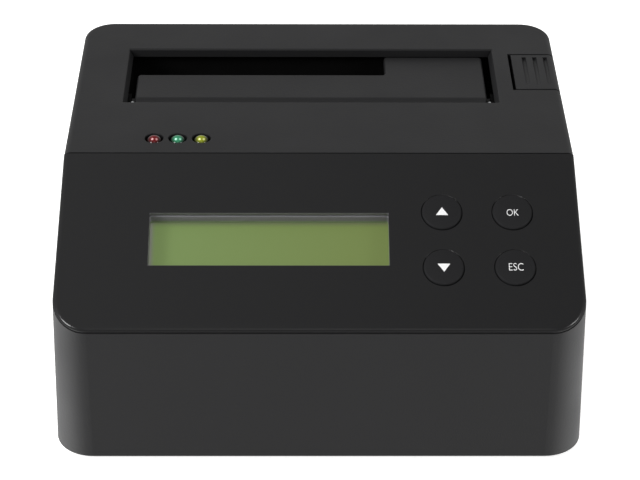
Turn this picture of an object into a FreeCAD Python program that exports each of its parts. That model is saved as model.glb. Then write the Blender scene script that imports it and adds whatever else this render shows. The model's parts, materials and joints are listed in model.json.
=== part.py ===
import FreeCAD, Part
import math
import os

from FreeCAD import Placement, Rotation, Vector

# Frame: X to the right, Y to the back, Z up, origin under the middle of the bounding box.
# All sizes are in millimetres.

# Body of the housing
BODY_WIDTH = 137.0
BODY_DEPTH = 124.4
BODY_HEIGHT = 64.5
FLAT_TOP_DEPTH = 77.0
SLOPE_DEG = 27.0
DRAFT_DEG = 1.5
CORNER_R = 8.6
TOP_EDGE_R = 1.8
WALL = 2.4
TOP_WALL = 2.5
SLOPE_WALL = 2.5

# Control panel plate on the slope
PANEL_T = 2.0
PANEL_EDGE_R = 1.1
PANEL_REAR_GAP = 0.25
PANEL_LIP = 0.66
REVEAL = 0.45
LEDGE_INSET = 1.8
LIP_FIT = 0.15
PEG_R = 1.5
PEG_LENGTH = 2.2
PEG_X = 61.0
PEG_U = (7.0, 45.0)

# Drives that the bay takes
DRIVE_35_WIDTH = 101.6
DRIVE_35_THICK = 26.1
DRIVE_25_WIDTH = 69.85
DRIVE_25_SLOT = 11.6
BAY_SIDE_CLEAR = 0.9
BAY_THICK_CLEAR = 0.9
NOTCH_CLEAR = 3.05

# Slot rim in the flat top
SLOT_X = -2.0
SLOT_REAR = 17.5
RIM_FLARE = 1.0
RIM_FRONT_LAP = 2.0
RIM_EDGE_R = 0.5
LAMP_EDGE_R = 0.25

# Flap and its hinge
FLAP_SINK = 2.0
FLAP_T = 2.2
FLAP_NOSE_GAP = 2.3
HINGE_DROP = 2.5
KNUCKLE_R = 2.0
KNUCKLE_W = 8.0
FLAP_SIDE_GAP = 2.0
FLAP_REAR_GAP = 0.7
FLAP_EDGE_R = 0.8
FLAP_CORNER_R = 1.0
FLAP_RIB_T = 1.2
FLAP_RIB_DROP = 1.6
FLAP_RIBS = 5
FLAP_STOP = 2.2
FLAP_STOP_DROP = 1.4
WELL_STOP = 1.4
STOP_GAP = 0.1
CLIP_R = 3.1
CLIP_T = 0.6
HINGE_ROD_R = 1.0
HINGE_FIT = 0.05
FIXED_FIT = 0.02
FLAP_SPRING_R = 1.75
FLAP_SPRING_WIRE_R = 0.25
FLAP_SPRING_TURNS = 4.0
FLAP_SPRING_PITCH = 0.62
FLAP_SPRING_LEG = 8.0
FLAP_SPRING_X = 27.0

# Drive well
WELL_WALL = 1.6
WELL_SETBACK = 0.7
WELL_REAR_SETBACK = 0.5
THROAT_BACK = 3.3
THROAT_Z = 46.0
WELL_FRONT_CLEAR = 0.7
WELL_FLOOR_Z = 22.0
WELL_FLOOR_T = 2.0
GUIDE_RIB_W = 3.0
GUIDE_RIB_STAND = 1.1
GUIDE_RIB_RISE = 24.0

# Eject button, lever and return spring
BUTTON_WIDTH = 12.55
BUTTON_REAR = 20.9
BUTTON_LENGTH = 20.4
BUTTON_SKIRT = 10.0
BUTTON_TRAVEL = 5.0
BUTTON_GAP_INNER = 0.95
BUTTON_GAP_END = 0.6
BUTTON_T = 2.2
GROOVE_R = 0.62
GROOVE_L = 16.0
GROOVE_DEPTH = 0.62
GROOVE_RUNOUT = 0.26
GROOVE_FROM_EDGE = 8.9
GROOVE_PITCH = 3.05
STEM_W = 6.0
STEM_FROM_REAR = 26.0
STEM_FIT = 0.3
LEVER_REAR = 19.5
LEVER_W = 5.0
LEVER_SIDE_FIT = 0.3
LEVER_REACH = 38.0
LEVER_PIVOT_Z = 16.5
LEVER_HUB_R = 4.2
LEVER_PIN_R = 1.25
LEVER_PIN_FIT = 0.05
LEVER_PIVOT_INSET = 3.7
LEVER_NOSE_GAP = 0.3
SHELF_Z = 40.0
SHELF_T = 2.0
EJECT_SPRING_R = 2.6
EJECT_SPRING_WIRE_R = 0.3
EJECT_SPRING_TURNS = 5.0
EJECT_SPRING_FROM_REAR = 36.5

# Display
LCD_X = -13.25
LCD_U = 26.9
LCD_W = 63.0
LCD_H = 15.9
LCD_CORNER_R = 0.5
LENS_SINK = 0.3
LENS_LIP = 1.5
LENS_LIP_T = 0.85
GASKET_T = 0.8
GLASS_GAP = 0.6
GLASS_T = 1.5
FRAME_T = 0.5
FRAME_BORDER_X = 4.15
FRAME_BORDER_U = 5.45
GLASS_TO_BOARD = 4.5
BOARD_T = 1.6
LCD_BOARD_W = 80.0
LCD_BOARD_H = 36.0
LCD_HOLE_X = 37.5
LCD_HOLE_U = 15.5

# Keys
KEY_X = 32.35
KEY_U = 18.65
KEY_PITCH_X = 18.65
KEY_PITCH_U = 16.8
KEY_R = 5.3
KEY_GAP = 0.1
KEY_HOLE_EDGE_R = 0.2
KEY_PROUD = 0.9
KEY_CROWN = 0.35
KEY_EDGE_R = 0.6
KEY_TRAVEL = 0.5
KEY_FLANGE = 0.9
KEY_FLANGE_T = 0.9
KEY_STEM_R = 2.2
SWITCH_SIZE = 6.0
SWITCH_H = 3.5
PLUNGER_R = 1.7
PLUNGER_UP = 0.8
PLUNGER_DOWN = 0.8
PLUNGER_FIT = 0.1

# Lamps
LED_X = -44.7
LED_PITCH = 6.4
LED_TO_CREASE = 7.8
LED_HOLE_R = 2.55
LED_FIT = 0.15
LED_PROUD = 0.6
LED_BODY = 4.3
LED_FLANGE = 0.4
LED_FLANGE_T = 1.0
LEAD_PITCH = 2.54
LEAD_W = 0.5
LED_BOARD_DROP = 9.0
LED_BOARD_SIZE = (29.0, 10.0)
LED_HOLDER_SIZE = (18.4, 6.0)
LED_POST_OUT = 11.8

# Back field with the ports, measured from the upper rear edge
IO_FACE = 0.6
IO_BACK = -1.6
IO_X = (-56.0, 48.0)
IO_Z = (8.2, 24.6)
SWITCH_X = -44.0
SWITCH_Z = 16.2
SWITCH_W = 15.2
SWITCH_HIGH = 10.6
ROCK_DEG = 16.0
INLET_X = -24.0
USB_X = -5.0
USB_DEPTH = 13.4
USB_SKIN = 0.5
SERIAL_X = 27.0
POST_SPACING = 24.99
POST_LENGTH = 5.0
POST_HOLE_R = 1.1

# Boards and base
BASE_T = 2.5
BASE_SINK = 0.4
BASE_FIT = 0.25
PILLAR_R = 4.6
PILLAR_TOP = 7.1
STANDOFF = 3.5
MAIN_BOARD_X = 51.0
MAIN_BOARD_REAR = 2.4
MAIN_BOARD_FRONT = 82.0
MAIN_HOLE_X = 47.0
CASE_SCREW_REAR = (56.0, 8.0)
CASE_SCREW_FRONT = (60.0, 116.0)
BOSS_R = 3.5
FOOT_R = 6.0
FOOT_PROUD = 1.2
FOOT_SEAT = 1.0
FOOT_X = 52.0
FOOT_INSET = 18.0
SATA_X = -23.0
SATA_LENGTH = 42.0
SATA_FROM_REAR = 21.6
SATA_W = 6.0
SATA_TOP = 28.0
SATA_BOARD_DROP = 2.0
SCREW_HEAD_R = 2.1
SCREW_HEAD_H = 1.4
SCREW_R = 1.0
SCREW_LENGTH = 4.6
SCREW_FIT = 0.03
SMALL_BOSS_R = 2.2
RIBBON_W = 14.0
RIBBON_T = 0.3
RIBBON_BEND = 9.0

# Levels and lines worked out from the sizes above
DRAFT = math.tan(math.radians(DRAFT_DEG))
Z_BOTTOM = FOOT_PROUD
Z_TOP = Z_BOTTOM + BODY_HEIGHT
Z_CEILING = Z_TOP - TOP_WALL
Y_REAR = (BODY_DEPTH + BODY_HEIGHT * DRAFT - IO_FACE - POST_LENGTH) / 2
SPAN = 2.0 * max(BODY_WIDTH, BODY_DEPTH)
RIM_W = DRIVE_35_WIDTH + 2 * BAY_SIDE_CLEAR
RIM_X = (SLOT_X - RIM_W / 2, SLOT_X + RIM_W / 2)
FLAP_FOLD = SLOT_REAR + DRIVE_35_THICK + BAY_THICK_CLEAR
HINGE_FROM_REAR = FLAP_FOLD + HINGE_DROP
SLOT_FRONT = HINGE_FROM_REAR + RIM_FRONT_LAP
FLAP_TOP = Z_TOP - FLAP_SINK
HINGE_Z = FLAP_TOP - HINGE_DROP
FLAP_UNDER = FLAP_TOP - FLAP_T
STOP_Z = FLAP_UNDER - FLAP_STOP_DROP
FLAP_X = (RIM_X[0] + FLAP_SIDE_GAP, RIM_X[1] - FLAP_SIDE_GAP)
NOTCH_X = RIM_X[0] + DRIVE_25_WIDTH + NOTCH_CLEAR
WELL_X = (RIM_X[0] - WELL_SETBACK, RIM_X[1] + WELL_SETBACK)
WELL_REAR = SLOT_REAR - WELL_REAR_SETBACK
WELL_FRONT = HINGE_FROM_REAR + HINGE_DROP + WELL_FRONT_CLEAR
BUTTON_X = BODY_WIDTH / 2 - BUTTON_WIDTH
STEM_X = BODY_WIDTH / 2 - WALL - 4.6
PIVOT_X = RIM_X[1] - LEVER_PIVOT_INSET
LEVER_PAD_TOP = LEVER_PIVOT_Z + 3.5
FLOOR_UNDER = WELL_FLOOR_Z - WELL_FLOOR_T
SATA_BOARD_TOP = FLOOR_UNDER - SATA_BOARD_DROP
BASE_BOTTOM = Z_BOTTOM + BASE_SINK
BASE_TOP = BASE_BOTTOM + BASE_T
MAIN_BOARD_UNDER = BASE_TOP + STANDOFF
MAIN_BOARD_TOP = MAIN_BOARD_UNDER + BOARD_T
SEAT = -PANEL_T
SLOPE_UNDER = -PANEL_T - SLOPE_WALL
LENS_STEP = SEAT + LENS_LIP_T + 0.05
GLASS_SINK = GLASS_GAP - SLOPE_UNDER
BOARD_SINK = GLASS_SINK + GLASS_TO_BOARD
LED_FROM_REAR = FLAT_TOP_DEPTH - LED_TO_CREASE
LED_R = LED_HOLE_R - LED_FIT
KEY_STEM_END = -BOARD_SINK + SWITCH_H + PLUNGER_UP


def from_rear(distance):
    """Y of a line this far in front of the upper rear edge."""
    return Y_REAR - distance


SLOPE = Placement(
    Vector(0, from_rear(FLAT_TOP_DEPTH), Z_TOP), Rotation(Vector(1, 0, 0), SLOPE_DEG)
)


def on_slope(shape):
    """Carry a shape from the flat drawing of the panel to the slope."""
    placed = shape.copy()
    placed.Placement = SLOPE.multiply(placed.Placement)
    return placed


def block(xs, ys, zs):
    """Box between two limits on each axis."""
    x0, x1 = sorted(xs)
    y0, y1 = sorted(ys)
    z0, z1 = sorted(zs)
    return Part.makeBox(x1 - x0, y1 - y0, z1 - z0, Vector(x0, y0, z0))


def rear_block(xs, distances, zs):
    """Box whose depth limits are distances in front of the upper rear edge."""
    return block(xs, [from_rear(d) for d in distances], zs)


def rod(radius, start, end):
    """Round bar between two points."""
    a = Vector(*start)
    b = Vector(*end)
    return Part.makeCylinder(radius, (b - a).Length, a, b - a)


def polygon(points):
    """Face bounded by straight lines through the points."""
    vectors = [Vector(*p) for p in points]
    return Part.Face(Part.makePolygon(vectors + vectors[:1]))


def rounded_plate(xs, ys, zs, radius):
    """Plate with rounded upright corners."""
    plate = block(xs, ys, zs)
    upright = [e for e in plate.Edges if abs(e.tangentAt(e.FirstParameter).z) > 0.99]
    return plate.makeFillet(radius, upright)


def revolve_up(points):
    """Solid turned about the Z axis from a half section of radius and height pairs."""
    face = polygon([(r, 0, z) for r, z in points])
    return face.revolve(Vector(0, 0, 0), Vector(0, 0, 1), 360)


def moved(shape, x, y, z):
    """Copy of a shape carried by an offset."""
    copy = shape.copy()
    copy.translate(Vector(x, y, z))
    return copy


def drafted_block(z0, z1, inset=0.0):
    """The body's outline between two heights, with drafted walls and coned corners."""
    flare0 = (Z_TOP - z0) * DRAFT - inset
    flare1 = (Z_TOP - z1) * DRAFT - inset
    half = BODY_WIDTH / 2
    core_x = half - CORNER_R
    front = from_rear(BODY_DEPTH)
    core_y = (front + CORNER_R, Y_REAR - CORNER_R)
    lengthwise = polygon([
        (-core_x, front - flare0, z0),
        (-core_x, Y_REAR + flare0, z0),
        (-core_x, Y_REAR + flare1, z1),
        (-core_x, front - flare1, z1),
    ]).extrude(Vector(2 * core_x, 0, 0))
    crosswise = polygon([
        (-half - flare0, core_y[0], z0),
        (half + flare0, core_y[0], z0),
        (half + flare1, core_y[0], z1),
        (-half - flare1, core_y[0], z1),
    ]).extrude(Vector(0, core_y[1] - core_y[0], 0))
    corners = [
        Part.makeCone(CORNER_R + flare0, CORNER_R + flare1, z1 - z0, Vector(x, y, z0))
        for x in (-core_x, core_x)
        for y in core_y
    ]
    return lengthwise.fuse([crosswise] + corners).removeSplitter()


def slope_slab(z0, z1, y1=0.0):
    """Slab parallel to the control slope, heights counted from the panel face."""
    return on_slope(block((-SPAN, SPAN), (-SPAN, y1), (z0, z1)))


def housing_body():
    """Full outside form before the slope is cut, with its upper edge rounded."""
    body = drafted_block(Z_BOTTOM, Z_TOP)
    upper = [e for e in body.Edges if all(abs(v.Z - Z_TOP) < 1e-6 for v in e.Vertexes)]
    return body.makeFillet(TOP_EDGE_R, upper)


def screw(head_r, head_h, shank_r, length):
    """Pan-head screw pointing up, seat of the head at zero."""
    soft = head_h * 0.35
    return revolve_up([
        (0, -head_h), (head_r - soft, -head_h), (head_r, soft - head_h), (head_r, 0),
        (shank_r, 0), (shank_r, length), (0, length),
    ])


def cross_recess(head_r, head_h):
    """Cross-shaped drive recess of a screw head."""
    slit = head_r * 0.14
    arm = head_r * 0.58
    depth = (-head_h - 1, head_h * -0.4)
    return block((-slit, slit), (-arm, arm), depth).fuse(block((-arm, arm), (-slit, slit), depth))


def board_screw():
    return screw(SCREW_HEAD_R, SCREW_HEAD_H, SCREW_R, SCREW_LENGTH)


def coil(radius, wire_r, turns, pitch):
    """Open wire coil about the Z axis, starting at zero height on the X axis."""
    path = Part.makeHelix(pitch, pitch * turns, radius)
    sides = 6
    ring = [
        Vector(
            radius + wire_r * math.cos(2 * math.pi * i / sides),
            0,
            wire_r * math.sin(2 * math.pi * i / sides),
        )
        for i in range(sides)
    ]
    section = Part.makePolygon(ring + ring[:1])
    return Part.Wire(path.Edges).makePipeShell([section], True, True)


def lcd_box(margin, zs):
    """Block over the display window, grown by a margin, in the panel drawing."""
    xs = (LCD_X - LCD_W / 2 - margin, LCD_X + LCD_W / 2 + margin)
    ys = (-LCD_U - LCD_H / 2 - margin, -LCD_U + LCD_H / 2 + margin)
    return rounded_plate(xs, ys, zs, LCD_CORNER_R + margin)


def key_places():
    """Centres of the keys in the panel drawing: up, down, OK, ESC."""
    return [
        (KEY_X + i * KEY_PITCH_X, -KEY_U - j * KEY_PITCH_U)
        for i in (0, 1)
        for j in (0, 1)
    ]


def key_board_posts():
    return [(KEY_X + KEY_PITCH_X / 2, -KEY_U - j * KEY_PITCH_U) for j in (0, 1)]


def lcd_posts():
    return [
        (LCD_X + i * LCD_HOLE_X, -LCD_U + j * LCD_HOLE_U) for i in (-1, 1) for j in (-1, 1)
    ]


def led_posts():
    middle = LED_X + LED_PITCH
    return [(middle + i * LED_POST_OUT, from_rear(LED_FROM_REAR)) for i in (-1, 1)]


def peg_places():
    half = BODY_WIDTH / 2 - 68.5 + PEG_X
    return [(side * half, -u) for side in (-1, 1) for u in PEG_U]


def case_screw_places():
    grown = BODY_WIDTH / 2 - 68.5
    front = BODY_DEPTH - 124.4 + CASE_SCREW_FRONT[1]
    places = []
    for side in (-1, 1):
        places.append((side * (CASE_SCREW_REAR[0] + grown), from_rear(CASE_SCREW_REAR[1])))
        places.append((side * (CASE_SCREW_FRONT[0] + grown), from_rear(front)))
    return places


def main_board_posts():
    return [
        (side * MAIN_HOLE_X, from_rear(d))
        for side in (-1, 1)
        for d in (MAIN_BOARD_REAR + 3.6, MAIN_BOARD_FRONT - 4.0)
    ]


def sata_board_posts():
    y = from_rear(SATA_FROM_REAR + 4.9)
    reach = SATA_LENGTH / 2 + 2.6
    return [(SATA_X - reach, y), (SATA_X + reach, y)]


def slot_prism():
    """Opening of the drive slot: straight below, flared at both ends above."""
    x0, x1 = RIM_X
    section = polygon([
        (x0, from_rear(SLOT_FRONT), Z_CEILING - 1),
        (x1, from_rear(SLOT_FRONT), Z_CEILING - 1),
        (x1, from_rear(SLOT_FRONT), Z_CEILING),
        (x1 + RIM_FLARE, from_rear(SLOT_FRONT), Z_TOP),
        (x1 + RIM_FLARE, from_rear(SLOT_FRONT), Z_TOP + 1),
        (x0 - RIM_FLARE, from_rear(SLOT_FRONT), Z_TOP + 1),
        (x0 - RIM_FLARE, from_rear(SLOT_FRONT), Z_TOP),
        (x0, from_rear(SLOT_FRONT), Z_CEILING),
    ])
    return section.extrude(Vector(0, SLOT_FRONT - SLOT_REAR, 0))


def usb_section(margin, y):
    """Stepped mouth of the data port, grown by a margin, on a plane across Y."""
    m = margin
    floor = MAIN_BOARD_TOP + USB_SKIN
    return polygon([
        (USB_X - 4.25 - m, y, floor - m),
        (USB_X + 4.25 + m, y, floor - m),
        (USB_X + 4.25 + m, y, floor + 6.2 + 0.4 * m),
        (USB_X + 3.0 + m, y, floor + 7.6 + 0.4 * m),
        (USB_X + 3.0 + m, y, floor + 10.6 + m),
        (USB_X - 3.0 - m, y, floor + 10.6 + m),
        (USB_X - 3.0 - m, y, floor + 7.6 + 0.4 * m),
        (USB_X - 4.25 - m, y, floor + 6.2 + 0.4 * m),
    ])


def serial_block(margin, y0, y1):
    """D-shaped block of the serial port, grown by a margin."""
    z = SERIAL_Z
    face = polygon([
        (SERIAL_X - 8.4 - margin, y0, z + 4.1 + margin),
        (SERIAL_X + 8.4 + margin, y0, z + 4.1 + margin),
        (SERIAL_X + 7.0 + margin, y0, z - 4.1 - margin),
        (SERIAL_X - 7.0 - margin, y0, z - 4.1 - margin),
    ])
    solid = face.extrude(Vector(0, y1 - y0, 0))
    lengthwise = [e for e in solid.Edges if abs(e.tangentAt(e.FirstParameter).y) > 0.99]
    return solid.makeFillet(2.0 + margin, lengthwise)


SERIAL_Z = MAIN_BOARD_TOP + 6.6
INLET_Z = MAIN_BOARD_TOP + 6.5


def serial_posts():
    return [(SERIAL_X + side * POST_SPACING / 2, SERIAL_Z) for side in (-1, 1)]


def switch_block(margin, y0, y1):
    return block(
        (SWITCH_X - SWITCH_W / 2 - margin, SWITCH_X + SWITCH_W / 2 + margin),
        (y0, y1),
        (SWITCH_Z - SWITCH_HIGH / 2 - margin, SWITCH_Z + SWITCH_HIGH / 2 + margin),
    )


def housing_shell():
    """Moulded upper case: flat top, drafted walls and the seat of the panel."""
    body = housing_body().cut(slope_slab(-PANEL_LIP - REVEAL, SPAN))
    pocket = drafted_block(Z_BOTTOM, Z_TOP, LEDGE_INSET).common(slope_slab(SEAT, SPAN))
    body = body.cut(pocket)
    cavity = drafted_block(Z_BOTTOM - 1, Z_CEILING, WALL)
    cavity = cavity.cut(slope_slab(SLOPE_UNDER, SPAN, SPAN))
    added = []
    for x, y in case_screw_places():
        side = 1 if x > 0 else -1
        added.append(rod(BOSS_R, (x, y, PILLAR_TOP), (x, y, Z_TOP)))
        added.append(block((x, side * SPAN), (y - 0.7, y + 0.7), (PILLAR_TOP + 8, Z_TOP)))
    for x, y in lcd_posts() + key_board_posts():
        added.append(on_slope(rod(SMALL_BOSS_R, (x, y, -BOARD_SINK), (x, y, SEAT))))
    for x, y in led_posts():
        added.append(rod(SMALL_BOSS_R, (x, y, Z_TOP - LED_BOARD_DROP), (x, y, Z_CEILING + 1)))
    added.append(block((IO_X[0] - 1.5, IO_X[1] + 1.5), (Y_REAR + IO_BACK, Y_REAR + IO_FACE),
                       (IO_Z[0] - 1.5, IO_Z[1] + 1.5)))
    inside = added[0].fuse(added[1:]).common(body)
    shell = body.cut(cavity).fuse(inside)
    cuts = [slot_prism()]
    cuts.append(block(IO_X, (Y_REAR + IO_FACE, Y_REAR + 10), IO_Z))
    cuts.append(block(IO_X, (Y_REAR + IO_BACK - 2.7, Y_REAR + IO_BACK), IO_Z))
    cuts.append(rear_block(
        (BUTTON_X - BUTTON_GAP_INNER, BODY_WIDTH),
        (BUTTON_REAR - BUTTON_GAP_END, BUTTON_REAR + BUTTON_LENGTH + BUTTON_GAP_END),
        (Z_TOP - BUTTON_SKIRT - BUTTON_TRAVEL - 0.3, Z_TOP + 1),
    ))
    for i in range(3):
        x = LED_X + i * LED_PITCH
        y = from_rear(LED_FROM_REAR)
        cuts.append(rod(LED_HOLE_R, (x, y, Z_CEILING - 1), (x, y, Z_TOP + 1)))
    cuts.append(on_slope(lcd_box(GASKET_T + 0.2, (SLOPE_UNDER - 1, SEAT + 1))))
    for x, y in key_places():
        hole = rod(KEY_R + KEY_FLANGE + 0.5, (x, y, SLOPE_UNDER - 1), (x, y, SEAT + 1))
        cuts.append(on_slope(hole))
    for x, y in peg_places():
        cuts.append(on_slope(rod(PEG_R + 0.1, (x, y, SLOPE_UNDER - 1), (x, y, SEAT + 1))))
    pilot = SCREW_R + SCREW_FIT
    for x, y in lcd_posts() + key_board_posts():
        cuts.append(on_slope(rod(pilot, (x, y, -BOARD_SINK - 1), (x, y, SLOPE_UNDER - 0.8))))
    for x, y in led_posts():
        z = Z_TOP - LED_BOARD_DROP
        cuts.append(rod(pilot, (x, y, z - 1), (x, y, z + SCREW_LENGTH)))
    for x, y in case_screw_places():
        cuts.append(rod(1.5 + SCREW_FIT, (x, y, PILLAR_TOP - 1), (x, y, PILLAR_TOP + 12)))
    y0 = Y_REAR + IO_BACK - 1
    y1 = Y_REAR + IO_FACE + 1
    cuts.append(switch_block(-0.7, y0, y1))
    cuts.append(rod(4.1, (INLET_X, y0, INLET_Z), (INLET_X, y1, INLET_Z)))
    cuts.append(usb_section(USB_SKIN + 0.25, y0).extrude(Vector(0, y1 - y0, 0)))
    cuts.append(serial_block(0.4, y0, y1))
    for x, z in serial_posts():
        cuts.append(rod(1.7, (x, y0, z), (x, y1, z)))
    shell = shell.cut(cuts).removeSplitter()
    return round_rim(shell)


def round_rim(shell):
    """Soften the upper edge of the drive slot and of the lamp holes."""
    x0 = RIM_X[0] - RIM_FLARE
    x1 = RIM_X[1] + RIM_FLARE
    slot = []
    lamps = []
    for e in shell.Edges:
        if any(abs(v.Z - Z_TOP) > 1e-4 for v in e.Vertexes):
            continue
        c = e.CenterOfMass
        in_x = x0 - 0.01 <= c.x <= x1 + 0.01
        in_y = from_rear(SLOT_FRONT) - 0.01 <= c.y <= from_rear(SLOT_REAR) + 0.01
        if in_x and in_y:
            slot.append(e)
        elif abs(e.Length - 2 * math.pi * LED_HOLE_R) < 0.01:
            lamps.append(e)
    return shell.makeFillet(RIM_EDGE_R, slot).makeFillet(LAMP_EDGE_R, lamps)


def control_panel():
    """Smooth plate on the slope: rounded lip over the pocket, window, key holes, pegs."""
    plate = drafted_block(Z_BOTTOM, Z_TOP).common(slope_slab(-PANEL_T, 0, -PANEL_REAR_GAP))
    back = SLOPE.inverse()
    rim = []
    for e in plate.Edges:
        local = [back.multVec(v.Point) for v in e.Vertexes]
        on_face = all(abs(p.z) < 1e-4 for p in local)
        at_rear = all(p.y > -PANEL_REAR_GAP - 0.01 for p in local)
        if on_face and not at_rear:
            rim.append(e)
    plate = plate.makeFillet(PANEL_EDGE_R, rim)
    core = drafted_block(Z_BOTTOM, Z_TOP, LEDGE_INSET + LIP_FIT)
    cuts = [slope_slab(-PANEL_T - 1, -PANEL_LIP).cut(core)]
    cuts.append(on_slope(lcd_box(0, (-PANEL_T - 1, 1))))
    cuts.append(on_slope(lcd_box(LENS_LIP + 0.2, (-PANEL_T - 1, LENS_STEP))))
    for x, y in key_places():
        cuts.append(on_slope(rod(KEY_R + KEY_GAP, (x, y, -PANEL_T - 1), (x, y, 1))))
    plate = plate.cut(cuts)
    around = 2 * math.pi * (KEY_R + KEY_GAP)
    mouths = []
    for e in plate.Edges:
        if abs(e.Length - around) < 0.01 and abs(back.multVec(e.CenterOfMass).z) < 0.01:
            mouths.append(e)
    plate = plate.makeFillet(KEY_HOLE_EDGE_R, mouths)
    pegs = [
        on_slope(rod(PEG_R, (x, y, -PANEL_T - PEG_LENGTH), (x, y, -PANEL_T + 0.5)))
        for x, y in peg_places()
    ]
    return plate.fuse(pegs).removeSplitter()


def lcd_window():
    """Clear lens: a front pad in the window and a lip behind the panel."""
    pad = lcd_box(-0.1, (LENS_STEP, -LENS_SINK))
    lip = lcd_box(LENS_LIP, (LENS_STEP - LENS_LIP_T, LENS_STEP))
    return on_slope(pad.fuse(lip).removeSplitter())


def lcd_gasket():
    """Frame that lines the opening between the lens and the glass."""
    top = SEAT - 0.03
    ring = lcd_box(GASKET_T + 0.1, (-GLASS_SINK + 0.02, top))
    return on_slope(ring.cut(lcd_box(0.1, (-GLASS_SINK - 1, top + 1))))


def lcd_frame_block(margin, zs):
    return block(
        (LCD_X - LCD_W / 2 - FRAME_BORDER_X + margin, LCD_X + LCD_W / 2 + FRAME_BORDER_X - margin),
        (-LCD_U - LCD_H / 2 - FRAME_BORDER_U + margin, -LCD_U + LCD_H / 2 + FRAME_BORDER_U - margin),
        zs,
    )


def lcd_frame():
    """Folded sheet frame that clamps the glass to the display board."""
    top = SLOPE_UNDER - 0.05
    frame = lcd_frame_block(0, (-BOARD_SINK, top))
    frame = frame.cut(lcd_frame_block(FRAME_T, (-BOARD_SINK - 1, top - FRAME_T)))
    return on_slope(frame.cut(lcd_box(GASKET_T + 0.3, (-BOARD_SINK - 1, top + 1))))


def lcd_glass():
    low = -GLASS_SINK - GLASS_T
    return on_slope(lcd_frame_block(FRAME_T + 0.2, (low, -GLASS_SINK)))


def lcd_backlight():
    high = -GLASS_SINK - GLASS_T
    return on_slope(lcd_frame_block(FRAME_T + 0.2, (-BOARD_SINK, high)))


def lcd_board():
    board = block(
        (LCD_X - LCD_BOARD_W / 2, LCD_X + LCD_BOARD_W / 2),
        (-LCD_U - LCD_BOARD_H / 2, -LCD_U + LCD_BOARD_H / 2),
        (-BOARD_SINK - BOARD_T, -BOARD_SINK),
    )
    holes = [
        rod(SCREW_R + 0.2, (x, y, -BOARD_SINK - BOARD_T - 1), (x, y, -BOARD_SINK + 1))
        for x, y in lcd_posts()
    ]
    return on_slope(board.cut(holes))


def panel_screws():
    """Screws of the display board, the key board and the lamp board."""
    seat = -BOARD_SINK - BOARD_T
    screws = [on_slope(moved(board_screw(), x, y, seat)) for x, y in lcd_posts()]
    screws += [on_slope(moved(board_screw(), x, y, seat)) for x, y in key_board_posts()]
    low = Z_TOP - LED_BOARD_DROP - BOARD_T
    screws += [moved(board_screw(), x, y, low) for x, y in led_posts()]
    return Part.makeCompound(screws)


def key_board():
    top = -BOARD_SINK
    board = block(
        (LCD_X + LCD_BOARD_W / 2 + 0.9, KEY_X + KEY_PITCH_X + 7.9),
        (-KEY_U - KEY_PITCH_U - 8.0, -KEY_U + 8.0),
        (top - BOARD_T, top),
    )
    holes = [
        rod(SCREW_R + 0.2, (x, y, top - BOARD_T - 1), (x, y, top + 1))
        for x, y in key_board_posts()
    ]
    return on_slope(board.cut(holes))


def key_switches():
    """Four switch bodies on the key board, each with a well for its plunger."""
    half = SWITCH_SIZE / 2
    bodies = []
    for x, y in key_places():
        top = -BOARD_SINK + SWITCH_H
        body = block((x - half, x + half), (y - half, y + half), (-BOARD_SINK, top))
        low = top - PLUNGER_DOWN - KEY_TRAVEL - 0.2
        well = rod(PLUNGER_R + PLUNGER_FIT, (x, y, low), (x, y, top + 1))
        bodies.append(on_slope(body.cut(well)))
    return Part.makeCompound(bodies)


def key_cap(place):
    """Domed key with a retaining flange and a stem."""
    under = -PANEL_T - 0.1
    shoulder = KEY_PROUD - KEY_CROWN
    outline = [
        Part.Arc(Vector(0, 0, KEY_PROUD),
                 Vector((KEY_R - KEY_EDGE_R) / 2, 0, KEY_PROUD - KEY_CROWN * 0.25),
                 Vector(KEY_R - KEY_EDGE_R, 0, shoulder)).toShape(),
        Part.Arc(Vector(KEY_R - KEY_EDGE_R, 0, shoulder),
                 Vector(KEY_R - KEY_EDGE_R * 0.27, 0, shoulder - KEY_EDGE_R * 0.32),
                 Vector(KEY_R, 0, shoulder - KEY_EDGE_R)).toShape(),
    ]
    rest = [
        Vector(KEY_R, 0, shoulder - KEY_EDGE_R),
        Vector(KEY_R, 0, under),
        Vector(KEY_R + KEY_FLANGE, 0, under),
        Vector(KEY_R + KEY_FLANGE, 0, under - KEY_FLANGE_T),
        Vector(KEY_STEM_R, 0, under - KEY_FLANGE_T),
        Vector(KEY_STEM_R, 0, KEY_STEM_END),
        Vector(0, 0, KEY_STEM_END),
        Vector(0, 0, KEY_PROUD),
    ]
    face = Part.Face(Part.Wire(outline + Part.makePolygon(rest).Edges))
    cap = face.revolve(Vector(0, 0, 0), Vector(0, 0, 1), 360)
    return on_slope(moved(cap, place[0], place[1], 0))


def key_plunger(place):
    x, y = place
    low = -BOARD_SINK + SWITCH_H - PLUNGER_DOWN
    return on_slope(rod(PLUNGER_R, (x, y, low), (x, y, KEY_STEM_END)))


def led(index):
    """Small round lamp with a domed tip, a flange and two leads."""
    centre = LED_PROUD - LED_R
    body = Part.makeCylinder(LED_R, LED_BODY + centre, Vector(0, 0, -LED_BODY))
    body = body.fuse(Part.makeSphere(LED_R, Vector(0, 0, centre)))
    low = -LED_BODY - LED_FLANGE_T
    body = body.fuse(Part.makeCylinder(LED_R + LED_FLANGE, LED_FLANGE_T, Vector(0, 0, low)))
    half = LEAD_W / 2
    for x in (-LEAD_PITCH / 2, LEAD_PITCH / 2):
        lead = block((x - half, x + half), (-half, half), (-LED_BOARD_DROP, low + half))
        body = body.fuse(lead)
    lamp = body.removeSplitter()
    return moved(lamp, LED_X + index * LED_PITCH, from_rear(LED_FROM_REAR), Z_TOP)


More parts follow.
